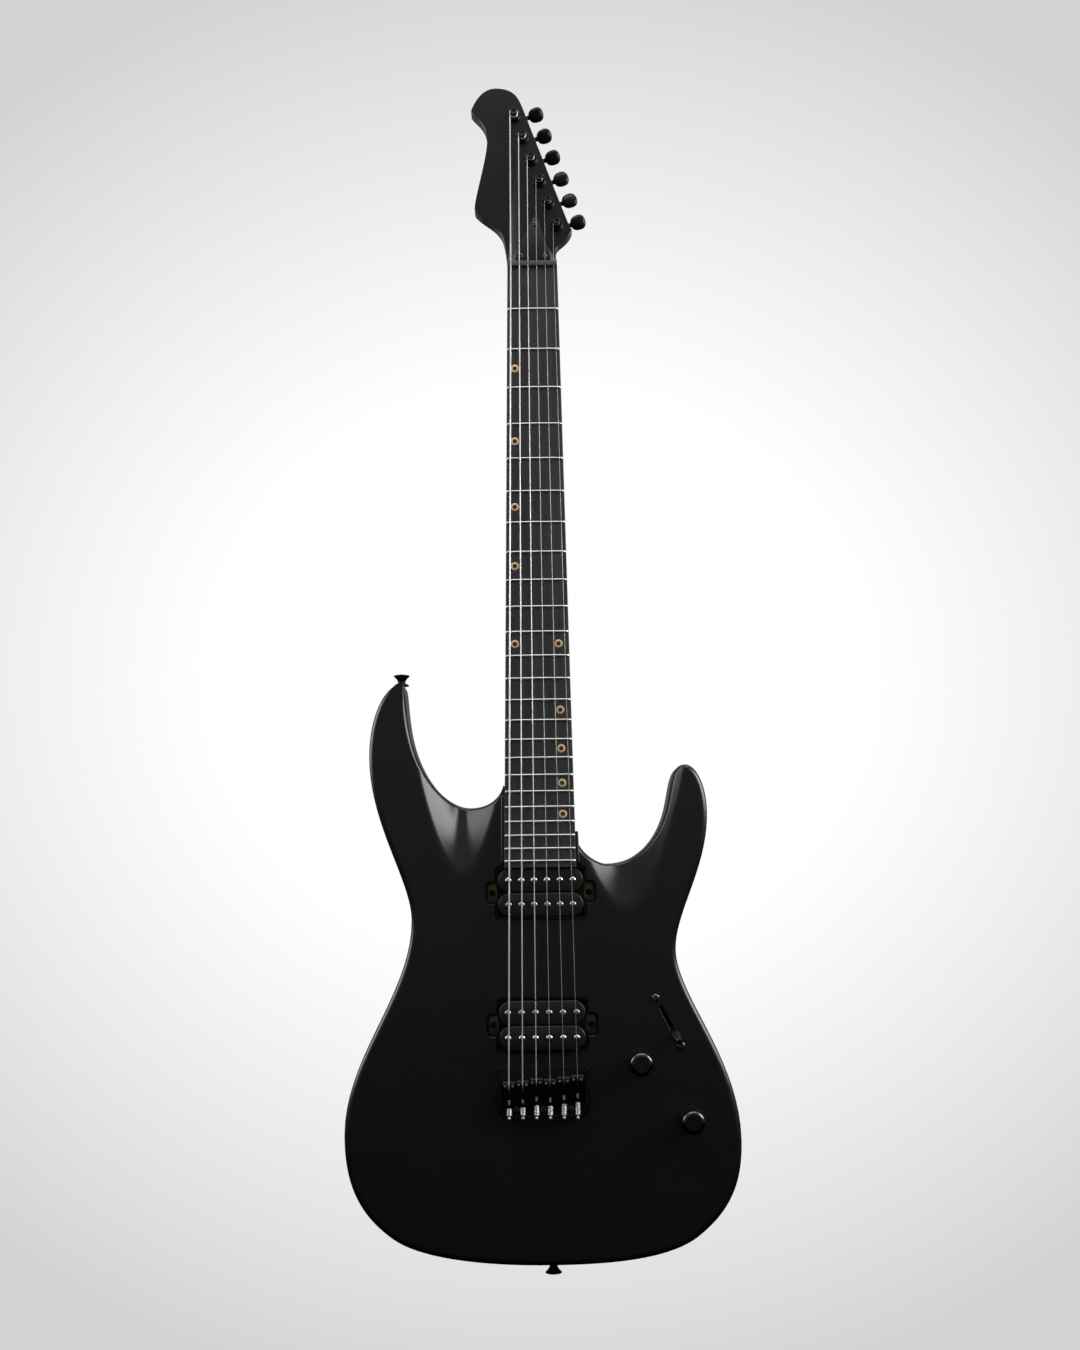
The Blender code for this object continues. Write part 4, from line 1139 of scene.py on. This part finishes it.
def make_fret(fret):
    """One half-round fret that follows the curved board, its ends cut back at an angle."""
    z = fret_z(fret)
    half = board_half_width(z) - 0.25
    steps = 14
    crown = []
    for k in range(9):
        angle = pi * k / 8
        crown.append((z - FRET_HALF * cos(angle), FRET_HEIGHT * sin(angle) ** 0.9))
    rings = []
    for k in range(-1, steps + 2):
        lift = 0.25 if k < 0 or k > steps else 1.0
        x = half * (2 * max(0, min(steps, k)) / steps - 1)
        if k in (0, steps):
            x -= copysign(0.7, x)
        foot = board_surface(x) + 0.4
        ring = [(x, foot, z - FRET_HALF)]
        ring += [(x, board_surface(x) - height * lift, along) for along, height in crown]
        rings.append(ring + [(x, foot, z + FRET_HALF)])
    return skin(rings)


def board_blank():
    rings = []
    length = SCALE - GAP - BOARD_END
    for k in range(61):
        z = SCALE - GAP - length * k / 60
        half = board_half_width(z)
        left = [(-half, BOARD_UNDERSIDE - GAP, z), (-half, board_surface(half) + 0.5, z)]
        across = [(half - 0.45) * (2 * i / 24 - 1) for i in range(25)]
        right = [(-x, y, z) for x, y, z in reversed(left)]
        rings.append(left + [(x, board_surface(x), z) for x in across] + right)
    return skin(rings)


def inlay_places():
    places = []
    for frets, share in ((BASS_INLAY_FRETS, BASS_INLAY_SHARE), (TREBLE_INLAY_FRETS, TREBLE_INLAY_SHARE)):
        for fret in frets:
            z = between_frets(fret)
            x = share * board_half_width(z)
            places.append((x, board_surface(x), z, 0.0))
    return places


def side_dots():
    dots = []
    for fret in SIDE_DOT_FRETS:
        z = between_frets(fret)
        for shift in ((-4, 4) if fret in (12, 24) else (0,)):
            dot = swung(eased([(1.0, 0.3), (1.0, -0.08), (0.05, -0.08)], 0.1, 20), -90, "Z")
            dots.append(put(dot, -board_half_width(z), SIDE_DOT_Y, z + shift))
    return merged(dots)


def make_fretboard():
    ring = rounded_profile([(1.8, 0.9), (3.25, 0.9), (3.25, -0.06), (1.8, -0.06)], 0.1, 2)
    seat = [(1.75, 0.9), (3.3, 0.9), (3.3, -1.0), (1.75, -1.0)]
    board = combined(board_blank(), [copies(lambda: ring_solid(seat, 32), inlay_places())])
    add_piece("fretboard_wood_piece", board, BOARD_WOOD, stands_for="fretboard", sharp=30)
    frets = merged([make_fret(fret) for fret in range(1, FRET_COUNT + 1)])
    add_piece("frets", frets, FRET_METAL, sharp=50)
    add_piece("ring_inlays", copies(lambda: ring_solid(ring, 48), inlay_places()), INLAY_METAL)
    add_piece("side_dots", side_dots(), NUT_LIGHT)


def make_nut():
    low, high = node_box("nut")
    start = SCALE - 3
    end = SCALE + 9
    slots = []
    for number in STRINGS:
        x = string_x_nut(number)
        radius = STRING_RADII[number - 1] + 0.12
        slots.append(rod(radius, start, end, x, STRING_Y_NUT, axis="z", sides=20))
        slots.append(block(x - radius, x + radius, low.y - 3, STRING_Y_NUT, start, end))
    blank = bevelled(block(-high.x, high.x, low.y, high.y, low.z, high.z), 0.7, 4)
    add_piece("nut_bar", combined(blank, slots), NUT_MATERIAL, stands_for="nut")


# ---------- strings


def tube(points, radius, sides=12):
    """A closed round wire through the points."""
    rings = []
    across = Vector((1, 0, 0))
    for i, point in enumerate(points):
        along = (points[min(i + 1, len(points) - 1)] - points[max(i - 1, 0)]).normalized()
        across = (across - along * across.dot(along)).normalized()
        other = along.cross(across)
        angles = [2 * pi * k / sides for k in range(sides)]
        rings.append([point + radius * (cos(angle) * across + sin(angle) * other) for angle in angles])
    return skin(rings)


def speaking_length(number):
    """From the saddle's crest over the nut, then wound down the post."""
    radius = STRING_RADII[number - 1]
    crest = Vector((string_x_saddle(number), STRING_Y_SADDLE, saddle_crest(number)))
    nut = Vector((string_x_nut(number), STRING_Y_NUT, SCALE))
    behind_nut = SCALE + NUT_THICKNESS
    points = [crest + Vector((0, 0, 0.2))]
    points += [crest.lerp(nut, k / 40) for k in range(1, 41)]
    points.append(Vector((nut.x, STRING_Y_NUT + 0.2, behind_nut)))
    post = joint_place(f"tuner_post_{number}_turn")
    reach = POST_WAIST + radius
    dx = nut.x - post.x
    dz = behind_nut - post.z
    start = atan2(dz, dx) - acos(reach / hypot(dx, dz))
    turns = BASS_WINDINGS if is_wound(number) else TREBLE_WINDINGS
    fall = 2 * radius * 1.04 * turns
    steps = int(36 * turns)
    for k in range(steps + 1):
        angle = start - 2 * pi * turns * k / steps
        y = WRAP_Y + fall * k / steps
        points.append(Vector((post.x + reach * cos(angle), y, post.z + reach * sin(angle))))
    return points


def tail_length(number):
    """From the ball end at the back of the body, up through the bridge and over the saddle."""
    x = string_x_saddle(number)
    crest = saddle_crest(number)
    bore = bore_z(number)
    low = Vector((x, SADDLE_UNDERSIDE, bore + 0.1))
    high = Vector((x, STRING_Y_SADDLE, crest - 1.4))
    points = [Vector((x, y, bore)) for y in (-8.2, -30, -44.6)]
    points += [low.lerp(high, k / 6) for k in range(7)]
    return points + [Vector((x, STRING_Y_SADDLE, crest + along)) for along in (-0.4, 0.3)]


def make_strings():
    """Each string in two lengths: both stretch as their saddle slides."""
    ball = [(0.3, -8.6), (1.9, -8.4), (1.9, -5.2), (0.3, -5.0)]
    for number in STRINGS:
        x = string_x_saddle(number)
        radius = STRING_RADII[number - 1]
        material = WOUND_WIRE if is_wound(number) else PLAIN_WIRE
        span = tube(speaking_length(number), radius)
        span = add_piece(f"string_{number}_span", span, material, None, f"string_{number}", sharp=60)
        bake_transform(span)
        tail = tube(tail_length(number), radius * 1.05)
        tail = add_piece(f"string_{number}_tail", tail, material, None, sharp=60)
        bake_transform(tail)
        add_piece(f"string_{number}_ball_end", put(eased(ball, 0.9, 24), x, 0, bore_z(number)), INLAY_METAL)


# ---------- tuners


def worm_height():
    """How far the worm's axis lies from the post's, along the tuner's own z."""
    step = joint_place("tuner_button_1_turn") - joint_place("tuner_post_1_turn")
    return hypot(step.x, step.z)


def make_bushing():
    """A round washer and a stepped threaded bushing around the post."""
    steps = [(3.25, 1.0), (6.05, 1.0), (6.05, -0.75), (5.35, -0.95), (5.15, -2.35), (4.4, -2.65),
             (4.2, -2.2), (3.25, -2.0)]
    return eased_ring([(radius, HEAD_FACE + y) for radius, y in steps], 0.25, 64)


def make_post():
    """A string post with its waist and a hole through it, down to where the housing hides it."""
    top = node_box("tuner_post_1")[0].y
    upper = [(0.05, 0.35), (1.5, 0.35), (2.0, 0.0), (POST_WAIST, 0.0), (2.9, 0.5), (2.9, 1.5), (2.5, 2.0),
             (2.5, 5.0), (2.9, 5.6)]
    profile = [(radius, top + y) for radius, y in upper] + [(2.9, -24.5), (0.05, -24.5)]
    hole = rod(0.75, -5, 5, 0, top + 3.4, 0, pi / 5, "x", 20)
    return combined(eased(profile, 0.35, 56), [hole])


def make_tuner_case():
    """The die-cast case: a rounded box with a gear dome, the worm's boss and a screw ear."""
    back = node_box("tuner_housing_1")[1].y
    front = HEAD_BACK + 0.02
    worm = (0, joint_place("tuner_button_1_turn").y, worm_height())
    case = bevelled(prism(rounded_polygon(rectangle(-6.6, 7.4, -5.4, 8.0), 2.6, 8), front, back), 1.3, 5)
    ear = rounded_polygon(rectangle(-6.4, -0.5, 6.0, 10.5), 2.4, 8)
    ear = bevelled(prism(ear, front, EAR_BACK), 0.6, 3)
    dome = eased([(4.9, back - 2.0), (4.9, back), (0.05, back)], 0.6, 48)
    boss = put(eased([(3.0, 6.0), (3.0, 9.2), (1.9, 9.2)], 0.5, 40, "x"), *worm)
    case = combined(case, [dome, boss, ear], "UNION")
    return combined(case, [rod(1.8, 0, 12, *worm, axis="x", sides=24)])


def make_button(spin):
    """A flattened oval button on a collared stem, turned about its shaft."""
    rings = [superellipse_ring(x, radius, radius, 2.0) for x, radius in BUTTON_STEM]
    for k in range(1, 26):
        along = -cos(pi * k / 26)
        swell = (1 - abs(along) ** 2.6) ** (1 / 2.3)
        root = BUTTON_STEM[-1][1] * (1 - k / 5)
        half_y = max(root, BUTTON_HALF_THICKNESS * swell ** 0.62)
        half_z = max(root, BUTTON_HALF_WIDTH * swell * (1 + 0.06 * along))
        x = mix(BUTTON_START, BUTTON_END, (along + 1) / 2)
        rings.append(superellipse_ring(x, half_y, half_z, 2.15))
    return swung(skin(rings), spin, "X")


def make_tuner_screws(place, tilt):
    """The cap screw on the gear dome and the fixing screw in the ear, seen from behind."""
    ear = Matrix.Rotation(tilt, 4, "Y") @ Vector((-3.6, 0, 8.2))
    dome = node_box("tuner_housing_1")[1].y - 0.02
    cap = swung(cross_screw(2.2, 0.8), 180, "Z")
    fixing = swung(cross_screw(1.7, 0.7), 180, "Z")
    return merged([put(cap, place.x, dome, place.z),
                   put(fixing, place.x + ear.x, EAR_BACK, place.z + ear.z)])


def make_tuners():
    axis = Vector(JOINTS["tuner_button_1_turn"]["axis"])
    tilt = atan2(-axis.z, axis.x)
    for number in STRINGS:
        post = joint_place(f"tuner_post_{number}_turn")
        shaft = joint_place(f"tuner_button_{number}_turn")
        place = (post.x, 0, post.z, tilt)
        add_piece(f"tuner_case_{number}", put(make_tuner_case(), *place), BLACK_METAL,
                  stands_for=f"tuner_housing_{number}")
        add_piece(f"tuner_bushing_{number}", put(make_bushing(), *place), BLACK_METAL)
        metal_post = put(make_post(), *place)
        add_moving(f"tuner_post_metal_{number}", metal_post, BLACK_METAL, f"tuner_post_{number}")
        button = put(make_button(BUTTON_SPINS[number - 1]), *shaft, tilt)
        add_moving(f"tuner_button_metal_{number}", button, BLACK_METAL, f"tuner_button_{number}")
        add_piece(f"tuner_screws_{number}", make_tuner_screws(post, tilt), SCREW_BLACK)


# ---------- pickups


def coil_shape(centre_z, levels):
    """A long coil-shaped solid with its outline drawn in by a distance at each level."""
    rings = []
    for y, inset in levels:
        outline = stadium(COIL_HALF_LENGTH - inset, COIL_WIDTH - 2 * inset, centre_z, 24)
        rings.append([(p.x, y, p.y) for p in outline])
    return skin(rings)


def make_bobbin(centre_z, top, bottom):
    """A bobbin with a thin top flange, rounded on its rim, and a bottom flange."""
    flange = [(0.0, 0.75), (0.12, 0.35), (0.35, 0.1), (0.7, 0.0), (1.5, 0.0), (1.6, 1.9)]
    foot = [(-1.3, 1.9), (-1.2, 0.1), (0.0, 0.1)]
    levels = [(top + y, inset) for y, inset in flange]
    return coil_shape(centre_z, levels + [(bottom + y, inset) for y, inset in foot])


def make_winding(centre_z, top, bottom):
    levels = [(top + 1.65, 1.2), (top + 2.0, 1.0), (bottom - 1.7, 1.0), (bottom - 1.35, 1.2)]
    return coil_shape(centre_z, levels)


def make_coil(pickup, coil, has_screws):
    """One coil: a bobbin with seats for its poles, the winding under it and the poles."""
    node = f"{pickup}_pickup_{coil}_coil"
    name = f"{pickup}_{coil}"
    low, high = node_box(node)
    middle = (low.z + high.z) / 2
    top = low.y + POLE_RISE
    places = [((3.5 - number) * POLE_SPACING[pickup], top, middle, 0.0) for number in STRINGS]
    seats = copies(lambda: rod(POLE_RADIUS + 0.1, -2, 0.7, sides=32), places)
    bobbin = combined(make_bobbin(middle, top, high.y), [seats])
    add_piece(name + "_bobbin", bobbin, BOBBIN, stands_for=node)
    add_piece(name + "_winding", make_winding(middle, top, high.y), WINDING)
    if has_screws:
        # The slotted screws take the darker copy of the pole steel: painted shade.
        add_piece(name + "_pole_screws", copies(lambda: slotted_pole(POLE_RADIUS, 0.9), places), POLE_STEEL_PAINTED_SHADE)
    else:
        add_piece(name + "_pole_slugs", copies(lambda: domed_pole(POLE_RADIUS, 1.3), places), POLE_STEEL)


def make_pickup(pickup, screw_row):
    """A humbucking pickup: two coils, one row of slotted screws and one of plain slugs."""
    node = pickup + "_pickup_base"
    low, high = node_box(node)
    centre = (low.z + high.z) / 2
    front = high.y - BASE_THICKNESS
    plate = rounded_polygon(centred_box(*BASE_PLATE, z=centre), 2.0)
    plate = bevelled(prism(plate, front, high.y), 0.25, 2)
    magnet = block(-MAGNET_HALF_LENGTH, MAGNET_HALF_LENGTH, low.y + 0.5, front + 0.2,
                   centre - MAGNET_HALF_WIDTH, centre + MAGNET_HALF_WIDTH)
    # The plate's brass is far darker than the ears': painted shade under the coils.
    add_piece(pickup + "_base_plate", combined(plate, [magnet], "UNION"), BASE_BRASS_PAINTED_SHADE, stands_for=node)
    ears = []
    screws = []
    for x, turn in ((-EAR_SCREW_X, 0.5), (EAR_SCREW_X, 1.2)):
        ear = prism(rounded_polygon(centred_box(*BASE_EAR, x, centre), 2.0), front - 0.1, high.y - 0.1)
        hole = rod(1.6, front - 3, high.y + 3, x, 0, centre, sides=20)
        ears.append(combined(bevelled(ear, 0.3, 2), [hole]))
        screws.append(put(cross_screw(2.5, 1.5), x, front - 0.05, centre, turn))
        screws.append(rod(1.3, front - 0.02, -23, x, 0, centre, sides=20))
    add_piece(pickup + "_base_ears", merged(ears), BRASS)
    for coil in ("upper", "lower"):
        make_coil(pickup, coil, coil == screw_row)
    add_piece(pickup + "_mounting_screws", merged(screws), DEEP_BLACK_AND_SLOT_SHADE)


# ---------- bridge


def make_bridge_plate():
    """A tray with a raised rim: string holes, screw holes in its back wall and sunk mounting screws."""
    low, high = node_box("bridge_plate")
    right = [(30.2, low.z), (34.4, -29.6), (36.6, -22.0), (36.6, -12.6), (34.9, -6.0), (34.9, high.z)]
    bay = [(28.6, -31.2), (32.2, -27.6), (32.2, high.z + 5)]
    slab = bevelled(prism(rounded_polygon(mirrored(right), 2.0), low.y, high.y), 0.5, 3)
    slab = bevelled(combined(slab, [prism(mirrored(bay), low.y - 5, BRIDGE_FLOOR)]), 0.25, 2, 50)
    screw_y = joint_place("intonation_screw_1_turn").y
    holes = []
    for number in STRINGS:
        x = string_x_saddle(number)
        holes.append(rod(STRING_HOLE, -49, high.y + 2, x, 0, bore_z(number), sides=24))
        holes.append(rod(INTONATION_BORE, -40, -28, x, screw_y, axis="z", sides=24))
    sink = [(3.2, BRIDGE_FLOOR - 1), (3.2, BRIDGE_FLOOR), (1.6, BRIDGE_FLOOR + 1.5), (1.6, high.y + 1)]
    sinks = [put(turned(sink, 28), x, 0, MOUNTING_SCREW_Z) for x in MOUNTING_SCREW_XS]
    plate = combined(slab, [merged(holes), merged(sinks)])
    add_piece("bridge_base", plate, BLACK_SATIN_METAL, stands_for="bridge_plate")
    places = [(x, BRIDGE_FLOOR + 0.8, MOUNTING_SCREW_Z, 0.4) for x in MOUNTING_SCREW_XS]
    add_piece("bridge_mounting_screws", copies(lambda: cross_screw(2.9, 0.9), places), SCREW_BLACK)


def saddle_block():
    """The saddle's side profile drawn across its width, with a rounded crest."""
    low = SADDLE_UNDERSIDE
    side = [(SADDLE_FRONT_END, low), (SADDLE_FRONT_END, -50.6), (2.5, -51.6), (1.5, -52.5), (0.6, -52.95),
            (-0.2, -53.1), (-1.0, -52.95), (-2.0, -52.4), (-3.4, -52.1), (-16.6, -51.5),
            (SADDLE_REAR_END, -50.4), (SADDLE_REAR_END, low)]
    rings = [[(x, y, z) for z, y in side] for x in (-SADDLE_HALF_WIDTH, SADDLE_HALF_WIDTH)]
    return bevelled(skin(rings), 0.4, 3, 30)


def make_saddle(number, screw_y):
    """A saddle at its crest's place: a string slot, a screw pocket, a groove and two screw sockets."""
    slot = bevelled(block(-1.15, 1.15, -60, -40, *SADDLE_SLOT), 0.4, 3)
    pocket = bevelled(block(-2.45, 2.45, -60, -40, *SADDLE_POCKET), 1.0, 3)
    groove = rod(STRING_RADII[number - 1] + 0.15, -3, 3, 0, STRING_Y_SADDLE + 0.1, axis="z", sides=16)
    rear = rod(INTONATION_BORE, -20, -14, 0, screw_y, axis="z", sides=24)
    sockets = [rod(1.3, -56, -49, x, 0, -HEIGHT_SCREW_BEHIND_CREST, sides=24)
               for x in (-HEIGHT_SCREW_X, HEIGHT_SCREW_X)]
    return combined(combined(saddle_block(), [slot, pocket]), [groove, rear, merged(sockets)])


def height_screw():
    """A hexagon-socket grub screw that stands on the bridge's floor."""
    grub = eased([(0.05, -44.95), (1.1, -44.95), (1.1, -52.3), (0.05, -52.3)], 0.35, 24)
    return combined(grub, [rod(0.6, -55, -51.2, sides=6)])


def make_saddles():
    screw_y = joint_place("intonation_screw_1_turn").y
    collar = [(1.25, -15.9), (2.1, -15.9), (2.1, -14.9), (1.7, -14.1), (1.25, -13.9)]
    for number in STRINGS:
        node = f"saddle_{number}"
        x = string_x_saddle(number)
        crest = saddle_crest(number)
        saddle = put(make_saddle(number, screw_y), x, 0, crest)
        add_moving(f"saddle_block_{number}", saddle, BLACK_SATIN_METAL, node)
        places = [(x + side * HEIGHT_SCREW_X, 0, crest - HEIGHT_SCREW_BEHIND_CREST) for side in (-1, 1)]
        add_piece(f"saddle_height_screws_{number}", copies(height_screw, places), BRIGHT_STEEL, node)
        ring = put(eased_ring(collar, 0.15, 32, "z"), x, screw_y, crest)
        add_piece(f"saddle_screw_collar_{number}", ring, SCREW_BLACK, node)
        end = crest + SADDLE_REAR_END - 0.1
        turns = 6.5 + (end - SPRING_START) * 0.12
        coil = put(helix(SPRING_RADIUS, SPRING_WIRE, SPRING_START, end, turns), x, screw_y, 0)
        spring = add_piece(f"intonation_spring_{number}", coil, SPRING_STEEL, body=None)
        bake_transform(spring)


def make_intonation_screws():
    head_z = node_box("bridge_plate")[0].z - GAP
    for number in STRINGS:
        node = f"intonation_screw_{number}"
        place = joint_place(node + "_turn")
        head = put(swung(cross_screw(2.65, 2.4, foot=0.75), -90, "X"), place.x, place.y, head_z)
        shank = rod(1.1, head_z - 0.2, node_box(node)[1].z, place.x, place.y, axis="z", sides=20)
        screw = combined(head, [shank], "UNION")
        add_moving(f"intonation_screw_metal_{number}", screw, ZINC_STEEL, node)


# ---------- controls


def make_knob(node, washer):
    """A turned metal knob with a bevelled crown and a small dot, on a thin washer."""
    low, high = node_box(node)
    place = node_centre(node)
    radius = (high.x - low.x) / 2
    top = low.y
    bottom = FRONT - 0.6
    profile = [(0.05, top + 0.12), (6.8, top), (radius - 0.7, top + 0.75), (radius, top + 2.4),
               (radius, bottom - 0.5), (radius - 0.4, bottom),
               (3.0, bottom), (3.0, bottom + 11.6), (0.05, bottom + 11.6)]
    dent = rod(0.6, -2, 0.5, 3.6, top + 0.3, 3.6, sides=20)
    knob = combined(eased(profile, 0.8, 96, steps=6), [dent])
    add_moving(node + "_cap", put(knob, place.x, 0, place.z), KNOB_METAL, node, sharp=30)
    ring = [(4.7, FRONT + 0.2), (9.7, FRONT + 0.2), (9.7, FRONT - 0.3), (4.7, FRONT - 0.3)]
    add_piece(washer, put(eased_ring(ring, 0.12, 80), place.x, 0, place.z), BLACK_METAL)


def make_switch():
    """The blade switch: a lever with its cap, tilted to rest, and two screws beside the slot."""
    place = joint_place("switch_lever_swing")
    screws = []
    for distance, turn in ((SWITCH_SCREW_OFFSET, 0.3), (-SWITCH_SCREW_OFFSET, 1.0)):
        x = place.x + distance * cos(SWITCH_RUN)
        z = place.z + distance * sin(SWITCH_RUN)
        screws.append(put(cross_screw(2.9, 1.5, recess=0.7), x, FRONT + 0.02, z, turn))
    add_piece("switch_screws", merged(screws), SCREW_BLACK)
    blade = bevelled(block(-2.0, 2.0, -22.5, 2.0, -0.7, 0.7), 0.2, 2)
    rings = []
    for y, half_x, half_z in SWITCH_CAP:
        rings.append([(x, y, z) for _, x, z in superellipse_ring(0, half_x, half_z, 3.0, 36)])
    cap = skin(rings)
    for shape in (blade, cap):
        put(shape, matrix=Matrix.Rotation(SWITCH_REST_TILT, 4, "Z"))
        put(shape, *place, -SWITCH_RUN)
    add_piece("switch_lever_blade", blade, BLACK_METAL, "switch_lever")
    add_moving("switch_lever_cap", cap, HARD_PLASTIC, "switch_lever")


def make_output_jack():
    face, direction, turn = edge_mount("output_jack_face")
    origin = face - direction * JACK_FACE
    place = (origin.x, EDGE_MIDDLE, origin.z, turn)
    profile = [(3.25, 1.1), (4.3, 1.1), (4.5, 0.7), (5.6, 0.7), (5.8, 1.4), (7.2, 1.4), (8.1, 0.9),
               (8.1, -1.2), (5.8, -1.2), (5.8, -27.5), (3.25, -27.5)]
    add_piece("jack_barrel", put(eased_ring(profile, 0.25, 64, "x"), *place), BLACK_METAL,
              stands_for="output_jack")
    contact = bevelled(block(-22, -6, -0.8, 0.8, 3.3, 4.2), 0.2, 2)
    add_piece("jack_contact", put(contact, *place), SPRING_STEEL)


def make_strap_buttons():
    profile = [(0.05, 0.5), (5.4, 0.5), (5.4, 1.2), (3.3, 2.0), (3.0, 3.2), (3.5, 4.6), (4.9, 6.4),
               (6.3, 7.6), (6.4, 8.4), (5.6, 8.8), (3.2, 8.4), (2.8, 8.0), (0.05, 8.0)]
    felt = [(0.9, -0.2), (6.1, -0.2), (6.1, 0.55), (0.9, 0.55)]
    for side in ("upper", "lower"):
        end, direction, turn = edge_mount(side + "_strap_button_end")
        origin = end - direction * STRAP_BUTTON_LENGTH
        place = (origin.x, EDGE_MIDDLE, origin.z, turn)
        add_piece("strap_button_metal_" + side, put(eased(profile, 0.6, 64, "x", 5), *place), BLACK_METAL,
                  stands_for="strap_button_" + side)
        add_piece("strap_washer_" + side, put(eased_ring(felt, 0.3, 48, "x"), *place), RUBBER)
        screw = put(swung(cross_screw(2.6, 1.5), 90, "Z"), 8.0)
        add_piece("strap_screw_" + side, put(screw, *place), SCREW_BLACK)


def finish_inner_parts():
    """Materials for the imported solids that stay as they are."""
    # The switch body takes the near-black steel: painted shade, so the slot reads dark.
    for node, material in (("truss_rod", ROD_STEEL), ("volume_pot", CAN_STEEL), ("tone_pot", CAN_STEEL),
                           ("switch_body", DEEP_BLACK_AND_SLOT_SHADE)):
        for material_slot in frame["nodes"][node].material_slots:
            material_slot.material = material


# ---------- stage


def make_floor():
    """A plain pale floor well below the guitar, left out of its reflections and its bounced light."""
    bm = bmesh.new()
    bmesh.ops.create_grid(bm, x_segments=4, y_segments=4, size=2.2)
    floor = to_object("floor", bm)
    floor.location = (0, 0, -0.9)
    floor.visible_glossy = False
    floor.visible_diffuse = False
    look = Look("pale_floor", (0.72, 0.72, 0.72), 0.8)
    look.tint(look.noise(3), (0.70, 0.70, 0.70), (0.74, 0.74, 0.74))
    floor.data.materials.append(look.material)


def soft_light(name, location, target_z, width, height, watts):
    """A softbox, in metres, that points at the guitar's middle line at a height."""
    light = bpy.data.lights.new(name, "AREA")
    light.shape = "RECTANGLE"
    light.size = width
    light.size_y = height
    light.energy = watts
    thing = bpy.data.objects.new(name, light)
    bpy.context.scene.collection.objects.link(thing)
    thing.location = location
    direction = Vector((0.0, 0.0, target_z)) - Vector(location)
    thing.rotation_euler = direction.to_track_quat("-Z", "Y").to_euler()
    thing.visible_camera = False
    return thing


def make_lights():
    soft_light("right_softbox", (1.25, -0.70, 0.75), 0.2, 0.7, 0.8, 16)
    soft_light("right_side_softbox", (1.45, -0.10, 0.65), 0.2, 0.7, 0.8, 10)
    soft_light("left_softbox", (-1.25, -0.55, 0.75), 0.2, 0.5, 0.8, 5)
    soft_light("left_side_softbox", (-1.45, -0.05, 0.60), 0.2, 0.6, 0.8, 9)
    soft_light("top_softbox", (0.0, -0.75, 1.75), 0.3, 1.4, 0.6, 9)
    back = soft_light("back_softbox", (-0.9, 1.5, 0.9), 0.3, 1.2, 1.2, 30)
    back.visible_glossy = False


def sky_ramp(tree, direction):
    """Surroundings that are dark low down and brighten with height, as the paint reflects them."""
    split = add_node(tree, "ShaderNodeSeparateXYZ", {"Vector": direction})
    raised = add_node(tree, "ShaderNodeMapRange", {"Value": split.outputs["Z"], "From Min": -1.0})
    ramp = add_node(tree, "ShaderNodeValToRGB", {"Fac": raised.outputs["Result"]})
    elements = ramp.color_ramp.elements
    while len(elements) < len(SKY_STOPS):
        elements.new(0.5)
    for element, (elevation, level) in zip(elements, SKY_STOPS):
        element.position = 0.5 + 0.5 * sin(radians(elevation))
        element.color = (level * 0.93, level * 0.98, level, 1)
    return ramp.outputs["Color"]


def backdrop(tree, window):
    """What the camera sees behind the guitar: white in the middle, greyer to the corners with painted shade."""
    values = {"Vector": window, "Scale": (0.7, 1.0, 0.0), "Location": (-0.35, -0.5, 0.0)}
    mapping = add_node(tree, "ShaderNodeMapping", values)
    values = {"Vector": mapping.outputs["Vector"]}
    gradient = add_node(tree, "ShaderNodeTexGradient", values, gradient_type="SPHERICAL")
    ramp = add_node(tree, "ShaderNodeValToRGB", {"Fac": gradient.outputs["Fac"]})
    corner, middle = ramp.color_ramp.elements
    corner.position = 0.45
    corner.color = (0.645, 0.645, 0.645, 1)
    middle.position = 0.78
    middle.color = (0.995, 0.995, 0.995, 1)
    return ramp.outputs["Color"]


def make_world():
    """A bright backdrop for the camera and graded studio surroundings for everything else."""
    world = bpy.data.worlds.new("studio")
    bpy.context.scene.world = world
    world.use_nodes = True
    tree = world.node_tree
    tree.nodes.clear()
    place = add_node(tree, "ShaderNodeTexCoord", {}).outputs
    path = add_node(tree, "ShaderNodeLightPath", {}).outputs
    shown = add_node(tree, "ShaderNodeBackground", {"Color": backdrop(tree, place["Window"])})
    sky = {"Color": sky_ramp(tree, place["Generated"]), "Strength": SKY_STRENGTH}
    unseen = add_node(tree, "ShaderNodeBackground", sky)
    chosen = {"Fac": path["Is Camera Ray"], 1: unseen.outputs["Background"], 2: shown.outputs["Background"]}
    shader = add_node(tree, "ShaderNodeMixShader", chosen).outputs["Shader"]
    add_node(tree, "ShaderNodeOutputWorld", {"Surface": shader})


def make_camera():
    """In front of the body, level with the bridge pickup, pitched up towards the headstock."""
    camera = bpy.data.cameras.new("camera")
    camera.lens = CAMERA_LENS
    camera.sensor_width = 36.0
    thing = bpy.data.objects.new("camera", camera)
    bpy.context.scene.collection.objects.link(thing)
    pitch = Matrix.Rotation(radians(90 + CAMERA_PITCH), 4, "X")
    roll = Matrix.Rotation(radians(CAMERA_ROLL), 4, "Z")
    thing.matrix_world = Matrix.Translation(CAMERA_PLACE) @ pitch @ roll
    bpy.context.scene.camera = thing


def main():
    make_body()
    make_back()
    make_neck()
    make_truss_rod_cover()
    make_fretboard()
    make_nut()
    make_strings()
    make_tuners()
    make_pickup("neck", "lower")
    make_pickup("bridge", "upper")
    make_bridge_plate()
    make_saddles()
    make_intonation_screws()
    make_knob("volume_knob", "volume_washer")
    make_knob("tone_knob", "tone_washer")
    make_switch()
    make_output_jack()
    make_strap_buttons()
    finish_inner_parts()
    make_floor()
    make_lights()
    make_world()
    make_camera()
    bpy.context.scene.view_settings.view_transform = "Standard"
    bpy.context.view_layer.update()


main()
